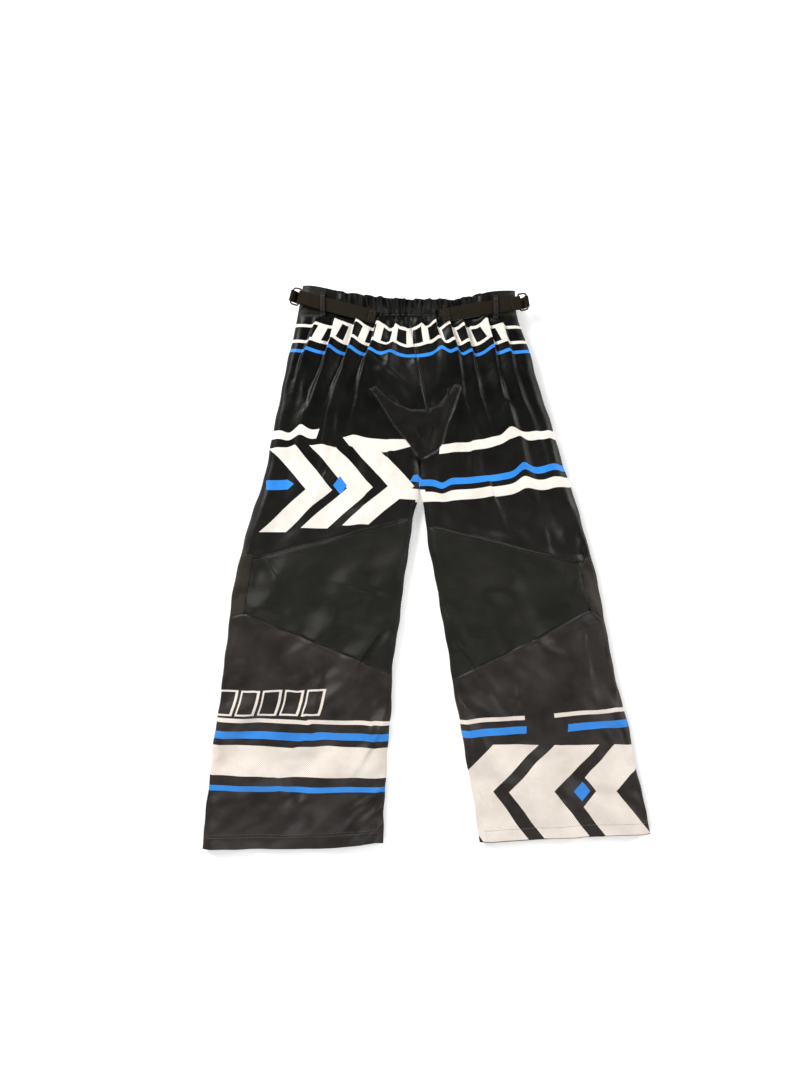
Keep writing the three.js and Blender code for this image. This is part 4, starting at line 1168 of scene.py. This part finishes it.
def loop_frame(side):
    """Belt loops stand upright in the plan although the straps slope."""
    to_plan, turn = strap_frame(side), math.radians(STRAPS[side][2])

    def to_loop(points):
        p = np.asarray(points, float)
        u = LOOP_AT + p[:, 0] * math.cos(turn) + p[:, 1] * math.sin(turn)
        return to_plan(np.stack([u, p[:, 1] * math.cos(turn) - p[:, 0] * math.sin(turn), p[:, 2]], -1))
    return to_loop


def rounded_path(corners, radius, closed=False, steps=6):
    """A polyline with its corners rounded off."""
    pts = [np.array(p, float) for p in corners]
    n = len(pts)
    out = []
    for k, p in enumerate(pts):
        if not closed and k in (0, n - 1):
            out.append(p)
            continue
        a, b = pts[k - 1] - p, pts[(k + 1) % n] - p
        la, lb = np.linalg.norm(a), np.linalg.norm(b)
        r = radius[k] if isinstance(radius, (list, tuple)) else radius
        cut = min(r, la * 0.48, lb * 0.48)
        start, end = p + a / la * cut, p + b / lb * cut
        out += [(1 - t) ** 2 * start + 2 * t * (1 - t) * p + t * t * end
                for t in np.linspace(0, 1, steps + 1)]
    return np.array(out)


def resampled(path, gap):
    long = np.concatenate([[0], np.cumsum(np.linalg.norm(np.diff(path, axis=0), axis=1))])
    at = np.linspace(0, long[-1], max(4, int(long[-1] / gap) + 1))
    return np.stack([np.interp(at, long, path[:, k]) for k in range(path.shape[1])], -1), at


RIB_PITCH = 1.9


def ribbon(name, path, width, thick, to_plan, material, gap=0.9, rib=0.0, across=10, swap=False,
           body="garment", sway=None):
    """A strip of cloth or webbing with rounded selvedges, swept along a path in (along, up)."""
    line, at = resampled(np.asarray(path, float), gap)
    tangent = np.gradient(line, axis=0)
    tangent /= np.linalg.norm(tangent, axis=1)[:, None]
    normal = np.stack([-tangent[:, 1], tangent[:, 0]], -1)
    v = np.sin(np.linspace(-np.pi / 2, np.pi / 2, across)) * 0.5 * width
    bulge = np.clip(1 - (np.abs(v) / (width / 2)) ** 10, 0, 1) ** 0.5
    loop = [(a, b) for a, b in zip(v, bulge)] + [(a, -b) for a, b in list(zip(v, bulge))[-2:0:-1]]
    points, flat = [], []
    for k, (p, n, s) in enumerate(zip(line, normal, at)):
        ridge = rib * math.sin(2 * math.pi * s / RIB_PITCH)
        move = sway(s) if sway else 0.0
        for a, b in loop:
            q = p + n * b * (thick / 2 + ridge)
            side_way = a + move + 0.12 * math.sin(s / 3.3 + (a > 0))
            points.append((side_way, q[0], q[1]) if swap else (q[0], side_way, q[1]))
            flat.append((s, a))
    m = len(loop)
    faces = []
    for k in range(len(line) - 1):
        for i in range(m):
            a, b = k * m + i, k * m + (i + 1) % m
            faces.append((a, b, b + m, a + m) if not swap else (a, a + m, b + m, b))
    faces.append(tuple(range(m))[::-1] if not swap else tuple(range(m)))
    last = (len(line) - 1) * m
    faces.append(tuple(last + i for i in range(m)) if not swap else tuple(last + i for i in range(m))[::-1])
    obj = mesh_object(name, placed(to_plan(points)), faces, [material], uv=np.array(flat) / 1000)
    repair_normals(obj)
    if body:
        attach(obj, body)
    return obj


def repair_normals(obj):
    work = bmesh.new()
    work.from_mesh(obj.data)
    bmesh.ops.recalc_face_normals(work, faces=work.faces)
    work.to_mesh(obj.data)
    work.free()


def swept_loop(name, path, radii, to_plan, material, sides=12):
    """A closed bar of rounded square section along a closed path in the strap's plane."""
    line, _ = resampled(np.vstack([path, path[:1]]), 0.8)
    line = line[:-1]
    ahead, behind = np.roll(line, -1, 0), np.roll(line, 1, 0)
    tangent = ahead - behind
    tangent /= np.linalg.norm(tangent, axis=1)[:, None]
    normal = np.stack([-tangent[:, 1], tangent[:, 0]], -1)
    angles = np.linspace(0, 2 * np.pi, sides, endpoint=False)
    ca, sa = np.cos(angles), np.sin(angles)
    soft = 2 / 3
    sx, sz = np.sign(ca) * np.abs(ca) ** soft * radii[0], np.sign(sa) * np.abs(sa) ** soft * radii[1]
    points = []
    for p, n in zip(line, normal):
        points += [(p[0] + n[0] * a, p[1] + n[1] * a, BAR_Z + b) for a, b in zip(sx, sz)]
    total = len(line)
    faces = []
    for k in range(total):
        for i in range(sides):
            a, b = k * sides + i, k * sides + (i + 1) % sides
            nxt = ((k + 1) % total) * sides
            faces.append((a, b, nxt + (i + 1) % sides, nxt + i))
    obj = mesh_object(name, placed(to_plan(points)), faces, [material])
    repair_normals(obj)
    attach(obj, "garment")
    return obj


def arch_points(end, foot, shoulder, high, crest):
    """A belt loop's side view, from one end to the other."""
    half = [(-end, 0.85), (-foot, 0.9), (-shoulder, high)]
    return [*half, (0, crest), *((-a, b) for a, b in half[::-1])]


for side in ("left", "right"):
    to_plan = strap_frame(side)
    bend = [(-3.0 * math.sin(a), BAR_Z - 3.0 * math.cos(a)) for a in np.linspace(0, math.pi, 15)]
    run = rounded_path([(8, 7.0), (30, 4.2), (56, 4.1), (147, 4.1)], 8)[1:-1]
    turn_over = [(146.6 + 0.75 * math.sin(a), 4.85 - 0.75 * math.cos(a)) for a in np.linspace(0, math.pi, 7)]
    path = [(50, 1.0), (20, 1.0), *bend, (8, 7.0), *run, (140, 4.1), *turn_over, (132, 5.6)]
    strap = ribbon(f"{side}_strap_webbing_ribbed", path, STRAP_WIDE, 1.25, to_plan, WEBBING, gap=0.48,
                   rib=0.11, across=14, body=None, sway=lambda s: 0.5 * math.sin(s / 31))
    ends = placed(to_plan([(51, 0, 4.1), (58, 0, 4.1)]))
    tuple(ends[0])
    tuple(ends[1])
    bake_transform(strap)
    stands_for(strap, "webbing", f"{side}_strap_webbing", f"{side}_strap_over_run", f"{side}_strap_tail")
    hooks = ribbon(f"{side}_hook_tape", [(106, 2.75), (138, 2.75)], 22.5, 0.8, to_plan, HOOKS, gap=1.5,
                   body=f"{side}_strap_end")
    loops = ribbon(f"{side}_loop_tape", [(61, 1.1), (144, 1.1)], 24.5, 1.5, to_plan, LOOPS, gap=1.5)
    stands_for(hooks, "hook_tape", f"{side}_hook_patch")
    stands_for(loops, "hook_tape", f"{side}_loop_patch")

    arch = rounded_path(arch_points(22, 16.2, 14.2, 7.6, 8.1), 3.2)
    back_loop = ribbon(f"{side}_back_belt_loop_cloth", arch, 8.0, 1.05, loop_frame(side), LOOP_CLOTH, gap=0.8,
                       swap=True)
    stands_for(back_loop, "black_polyester", f"{side}_back_belt_loop")

    corners = [(0, -15.6), (0, 15.6), (-15.5, 15.6), (-15.5, -15.6)]
    ring_path = rounded_path(corners, [2.6, 2.6, 9.5, 9.5], closed=True, steps=9)
    ring = swept_loop(f"{side}_ring_moulded", ring_path, (1.6, 1.45), to_plan, PLASTIC)
    stands_for(ring, "ring_plastic", f"{side}_ring")

    bar_x = -15.6
    foot = (-abs(float(outer[side](STRAPS[side][1])) - STRAPS[side][0]) - 1.2, -12.6)
    turns = np.linspace(math.radians(15), math.radians(222), 16)
    round_bar = [(bar_x + 2.7 * math.cos(a), BAR_Z + 2.7 * math.sin(a)) for a in turns]
    tab_path = [(foot[0] + 0.7, foot[1]), (foot[0] - 4.5, foot[1] + 8), *round_bar,
                (foot[0] - 6.5, foot[1] + 6.5), (foot[0] - 0.7, foot[1])]
    tab = ribbon(f"{side}_ring_tab_tape", rounded_path(tab_path, 2), 21, 1.1, to_plan, WEBBING,
                 gap=0.7, rib=0.06)
    stands_for(tab, "lining", f"{side}_ring_tab")

for side, x in (("left", -150.0), ("right", 98.0)):
    def under(points, x=x):
        p = np.asarray(points, float)
        return np.stack([x + p[:, 0], 499 - p[:, 1], 4.5 - p[:, 2]], -1)
    arch = rounded_path(arch_points(18, 12.4, 10.4, 3.0, 3.3), 2.2)
    obj = ribbon(f"{side}_front_belt_loop_cloth", arch, 9.0, 0.95, under, LOOP_CLOTH, gap=0.8, swap=True)
    stands_for(obj, "black_polyester", f"{side}_front_belt_loop")


# ------------------------------------------------------------------ small parts under the front
def softened(node, name, material, width, body, slot, wobble=0.0):
    """A rounded copy of a small CAD solid, for cloth parts on the underside."""
    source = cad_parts[node]
    work = bmesh.new()
    work.from_mesh(source.data)
    bmesh.ops.remove_doubles(work, verts=work.verts, dist=1e-6)
    bmesh.ops.dissolve_limit(work, angle_limit=math.radians(4), verts=work.verts, edges=work.edges)
    sharp = [e for e in work.edges if e.is_manifold and e.calc_face_angle(0) > math.radians(30)]
    bmesh.ops.bevel(work, geom=sharp, offset=width, segments=3, profile=0.5, affect="EDGES",
                    clamp_overlap=True)
    bmesh.ops.triangulate(work, faces=work.faces)
    long = [e for e in work.edges if e.calc_length() > 0.004]
    for _ in range(3):
        if not long:
            break
        bmesh.ops.subdivide_edges(work, edges=long, cuts=1, use_grid_fill=False)
        bmesh.ops.triangulate(work, faces=work.faces)
        long = [e for e in work.edges if e.calc_length() > 0.004]
    if wobble:
        for v in work.verts:
            p = v.co * 1000
            v.co.z += wobble / 1000 * math.sin(p.x / 5.3 + 1) * math.sin(p.y / 6.1)
    mesh = bpy.data.meshes.new(name)
    work.to_mesh(mesh)
    work.free()
    mesh.materials.clear()
    mesh.materials.append(material)
    mesh.polygons.foreach_set("use_smooth", [True] * len(mesh.polygons))
    obj = bpy.data.objects.new(name, mesh)
    bpy.context.scene.collection.objects.link(obj)
    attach(obj, body)
    stands_for(obj, slot, node)


softened("fly_shield", "fly_shield_cloth", LINING_AT, 0.0003, "garment", "lining", 0.15)
softened("waist_tab_base", "waist_tab_base_cloth", LINING_AT, 0.0003, "garment", "black_polyester")
softened("waist_tab", "waist_tab_cloth", LINING_AT, 0.0003, "waist_tab", "black_polyester", 0.1)
for side in ("left", "right"):
    softened(f"{side}_zip_tape", f"{side}_zip_tape_cloth", LINING_AT, 0.0002, "garment", "elastic")
for node in ("zip_slider", "zip_pull", "zip_bottom_stop", "press_stud_cap", "press_stud_post"):
    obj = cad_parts[node]
    obj.data.materials.clear()
    obj.data.materials.append(METAL)
    soft = obj.modifiers.new("edges", "BEVEL")
    soft.width, soft.segments, soft.limit_method = 0.00018, 2, "ANGLE"


# ------------------------------------------------------------------ stitches
def stitches(name, runs, surface, body, material, pitch=3.0, long=2.2, radius=0.22, lift=0.2,
             under=False, bend=None):
    """Rows of thread: each run is a plan polyline; every stitch is a short bowed thread on the cloth."""
    points, faces = [], []
    rings, sides = 4, 5
    for run in runs:
        line, at = resampled(np.array(run, float), 0.5)
        total = at[-1]
        starts = np.arange(pitch * 0.3, total - long, pitch)
        a = np.stack([np.interp(starts, at, line[:, k]) for k in (0, 1)], -1)
        b = np.stack([np.interp(starts + long, at, line[:, k]) for k in (0, 1)], -1)
        add_threads(points, faces, surface, a, b, radius, lift, rings, sides, under)
    finish_threads(name, points, faces, body, material, bend)


def add_threads(points, faces, surface, a, b, radius, lift, rings=4, sides=5, under=False):
    shares = np.linspace(0, 1, rings)
    where = [surface(*(a * (1 - t) + b * t).T) for t in shares]
    sign = -1 if under else 1
    for k in range(len(a)):
        way = where[-1][k] - where[0][k]
        if np.linalg.norm(way) < 1e-6:
            continue
        way = way / np.linalg.norm(way)
        across = np.cross(way, [0, 0, 1.0])
        across /= np.linalg.norm(across) + 1e-9
        up = np.cross(across, way)
        first = len(points)
        for t, w in zip(shares, where):
            thick = radius * (0.55 + 0.45 * math.sin(math.pi * t))
            centre = w[k] + np.array([0, 0, sign * (lift * math.sin(math.pi * t) - 0.02)])
            for s in range(sides):
                angle = 2 * math.pi * s / sides
                points.append(centre + (across * math.cos(angle) + up * math.sin(angle)) * thick)
        for r in range(rings - 1):
            for s in range(sides):
                i, j = first + r * sides + s, first + r * sides + (s + 1) % sides
                faces.append((i, j, j + sides, i + sides))
        faces.append(tuple(first + s for s in range(sides))[::-1])
        faces.append(tuple(first + (rings - 1) * sides + s for s in range(sides)))


def finish_threads(name, points, faces, body, material, bend=None):
    obj = mesh_object(name, placed(np.array(points)), faces, [material])
    if bend:
        bend_at_knee(obj, bend)
    else:
        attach(obj, body)
    return obj


def on_casing(x, y):
    top = waist_top(x)
    t = (y - WAIST_SEAM) / (top - WAIST_SEAM)
    d = np.minimum(x - outer["left"](y), outer["right"](y) - x)
    c = rounded(d)
    z = level(y, c, CASING_DEEP * c) + gathers(x, t) * smooth(d, 0, 14)
    z = z - 1.1 * np.exp(-(((t - 0.06) / 0.05) ** 2))
    return np.stack([x, y, z + 0.1], -1)


def clipped(line, margin=1.5):
    """The part of a polyline that lies on the garment."""
    p = np.array(sampled(line, 3.0))
    d_out, d_in = edge_distances(p[:, 0], p[:, 1])
    return p[(np.minimum(d_out, d_in) > margin)].tolist()


waist_row = [(x, WAIST_SEAM + 3.4) for x in np.linspace(-232, 162, 80)]
stitches("waist_seam_stitches", [waist_row], on_casing, "garment", GREY_THREAD, 3.4, 2.3, 0.3, 0.35)
for side in ("left", "right"):
    leg = f"{side}_lower_leg"
    stitches(f"{side}_knee_top_stitches", [clipped(beside(KNEE_TOP[side], 2.6))],
             back_surface, "garment", THREAD)
    stitches(f"{side}_knee_low_stitches", [clipped(beside(KNEE_LOW[side], -2.6))], back_surface, leg, THREAD)
    rows = [beside(SIDE_EDGE[side], off) for off in (2.4, -2.4)]
    stitches(f"{side}_knee_side_stitches", rows, back_surface, None, THREAD, bend=side)
    xs = np.linspace(OUTER[side][0][1], INNER[side][0][1], 100)[2:-2]
    rows = [[(x, HEM[side] + h) for x in xs] for h in HEM_ROWS]
    thread = GREY_THREAD if side == "left" else MAUVE_THREAD
    stitches(f"{side}_hem_stitches", rows, back_surface, leg, thread, 3.0, 2.2, 0.36)
    stitches(f"{side}_hem_stitches_under", rows, front_surface, leg, THREAD, 3.0, 2.0, 0.24, under=True)

# the gusset's cover seam: slanted threads to and fro across the join
points, faces = [], []
ring = np.array(sampled(GUSSET + GUSSET[:1], 1.0))
line, at = resampled(ring, 0.5)
starts = np.arange(1, at[-1] - 3, 1.7)
mid = np.stack([np.interp(starts, at, line[:, k]) for k in (0, 1)], -1)
nxt = np.stack([np.interp(starts + 1.2, at, line[:, k]) for k in (0, 1)], -1)
way = nxt - mid
way /= np.linalg.norm(way, axis=1)[:, None]
side_way = np.stack([-way[:, 1], way[:, 0]], -1)
zig = np.where(np.arange(len(mid)) % 2, 1.0, -1.0)[:, None]
keep = np.array([float(crown(np.array(m[0]), np.array(m[1]))) > 0.9 for m in mid])
slant = side_way * 2.0 * zig
add_threads(points, faces, back_surface, (mid - slant)[keep], (nxt + slant)[keep], 0.2, 0.25)
finish_threads("gusset_cover_stitches", points, faces, "garment", DIM_THREAD)
rows = [beside(CENTRE_SEAM, off) for off in (2.2, -2.2)]
stitches("seat_seam_stitches", rows, back_surface, "garment", THREAD)
rows = [[(FLY_X + off, FLY_LOW + 4), (FLY_X + off, 474)] for off in (-FLY_HALF - 2.5, FLY_HALF + 2.5)]
rows.append([(-62, 474), (-60, 372), (-50, 346), (-32, 334)])
stitches("fly_stitches", rows, front_surface, "garment", THREAD, under=True)

# bar tacks and box stitches on the straps and loops
for side in ("left", "right"):
    to_plan = strap_frame(side)

    def strap_top(u, v, to_plan=to_plan):
        thick = np.where(u > 131.5, 6.35, np.where(u > 30, 4.85, 4.85 + (30 - u) * 0.13))
        return to_plan(np.stack([u, v, thick], -1))
    box = [[(134, -9), (144, -9), (144, 9), (134, 9), (134, -9)],
           [(134, -9), (144, 9)], [(134, 9), (144, -9)]]
    stitches(f"{side}_strap_end_stitches", box, strap_top, f"{side}_strap_end", THREAD, 2.4, 1.9, 0.26, 0.3)
    rows = [[(12 + 2.6 * k, -10), (12 + 2.6 * k, 10)] for k in range(2)]
    stitches(f"{side}_strap_root_stitches", rows, strap_top, "garment", THREAD, 1.7, 1.5, 0.26, 0.3)

    def loop_top(v, u, to_loop=loop_frame(side)):
        w = np.interp(np.abs(u), [0, 13.2, 14.6, 16.6, 22], [8.65, 8.2, 7.4, 1.6, 1.45])
        return to_loop(np.stack([v, u, w], -1))
    rows = [[(off, -21), (off, 21)] for off in (-3.2, 3.2)]
    rows += [[(-3.6, y), (3.6, y)] for y in (-20.6, -18.6, 18.6, 20.6)]
    stitches(f"{side}_belt_loop_stitches", rows, loop_top, "garment", THREAD, 2.2, 1.6, 0.2, 0.25)

for side, x in (("left", -162.5), ("right", 100.0)):  # bar tacks where the gathers start
    low = float(waist_top(x)) - 14
    tack = [[(x + 2.4 * (-1) ** j, low + 1.1 * j) for j in (k, k + 1)] for k in range(9)]
    points, faces = [], []
    tack = np.array(tack)
    add_threads(points, faces, on_casing, tack[:, 0], tack[:, 1], 0.32, 0.35)
    finish_threads(f"{side}_bar_tack", points, faces, "garment", GREY_THREAD)

# the zip's coil between its tapes
points, faces = [], []
coil_y = np.arange(FLY_LOW + 3, 462, 1.5)


def coil_level(x, y):
    return np.stack([x, y, 0 * x + 2.9], -1)


a = np.stack([np.full_like(coil_y, FLY_X - 2.1), coil_y], -1)
b = np.stack([np.full_like(coil_y, FLY_X + 2.1), coil_y + 0.7], -1)
add_threads(points, faces, coil_level, a, b, 0.5, 0.4, 5, 6, True)
finish_threads("zip_coil", points, faces, "garment", NYLON)

# ------------------------------------------------------------------ floor, light and camera
floor = mesh_object("floor", [(-6, -6, 0), (6, -6, 0), (6, 6, 0), (-6, 6, 0)], [(0, 1, 2, 3)], [])
FLOOR_GLOW, SKY = 0.25, 0.18  # strengths
look = Look("floor_paper", Roughness=0.9, Emission_Color=rgb(1, 1, 1), Emission_Strength=FLOOR_GLOW)
paper = look.blend(look.noise(look.place(False), 3, 2), rgb(0.93, 0.93, 0.925), rgb(0.955, 0.955, 0.95))
floor.data.materials.append(look.surface(paper))


def area_light(name, at, to, size, power, colour=(1, 1, 1)):
    """A softbox, size in metres and power in watts."""
    data = bpy.data.lights.new(name, "AREA")
    data.shape = "RECTANGLE"
    data.size, data.size_y = size
    data.energy = power
    data.color = colour
    obj = bpy.data.objects.new(name, data)
    bpy.context.scene.collection.objects.link(obj)
    obj.location = at
    obj.rotation_mode = "QUATERNION"
    obj.rotation_quaternion = (Vector(to) - Vector(at)).to_track_quat("-Z", "Y")
    return obj


area_light("key", (-1.75, 1.7, 1.55), (0, 0.1, 0), (1.5, 0.8), 94, (1.0, 0.98, 0.95))
area_light("side", (2.3, 0.7, 1.2), (0, 0, 0), (0.6, 1.8), 50, (1.0, 0.985, 0.96))
area_light("low", (-0.3, -2.5, 1.7), (0, -0.1, 0), (2.2, 0.7), 47)
world = bpy.data.worlds.new("studio")
world.use_nodes = True
world.node_tree.nodes["Background"].inputs["Color"].default_value = (0.97, 0.98, 1.0, 1.0)
world.node_tree.nodes["Background"].inputs["Strength"].default_value = SKY
bpy.context.scene.world = world
bpy.context.scene.view_settings.view_transform = "Standard"

camera = bpy.data.cameras.new("camera")
camera.sensor_width = 36
camera.lens = 38.4
eye = bpy.data.objects.new("camera", camera)
bpy.context.scene.collection.objects.link(eye)
eye.location = (-0.040, 0.054, 2.2)
eye.rotation_euler = (0, 0, 0)
bpy.context.scene.camera = eye
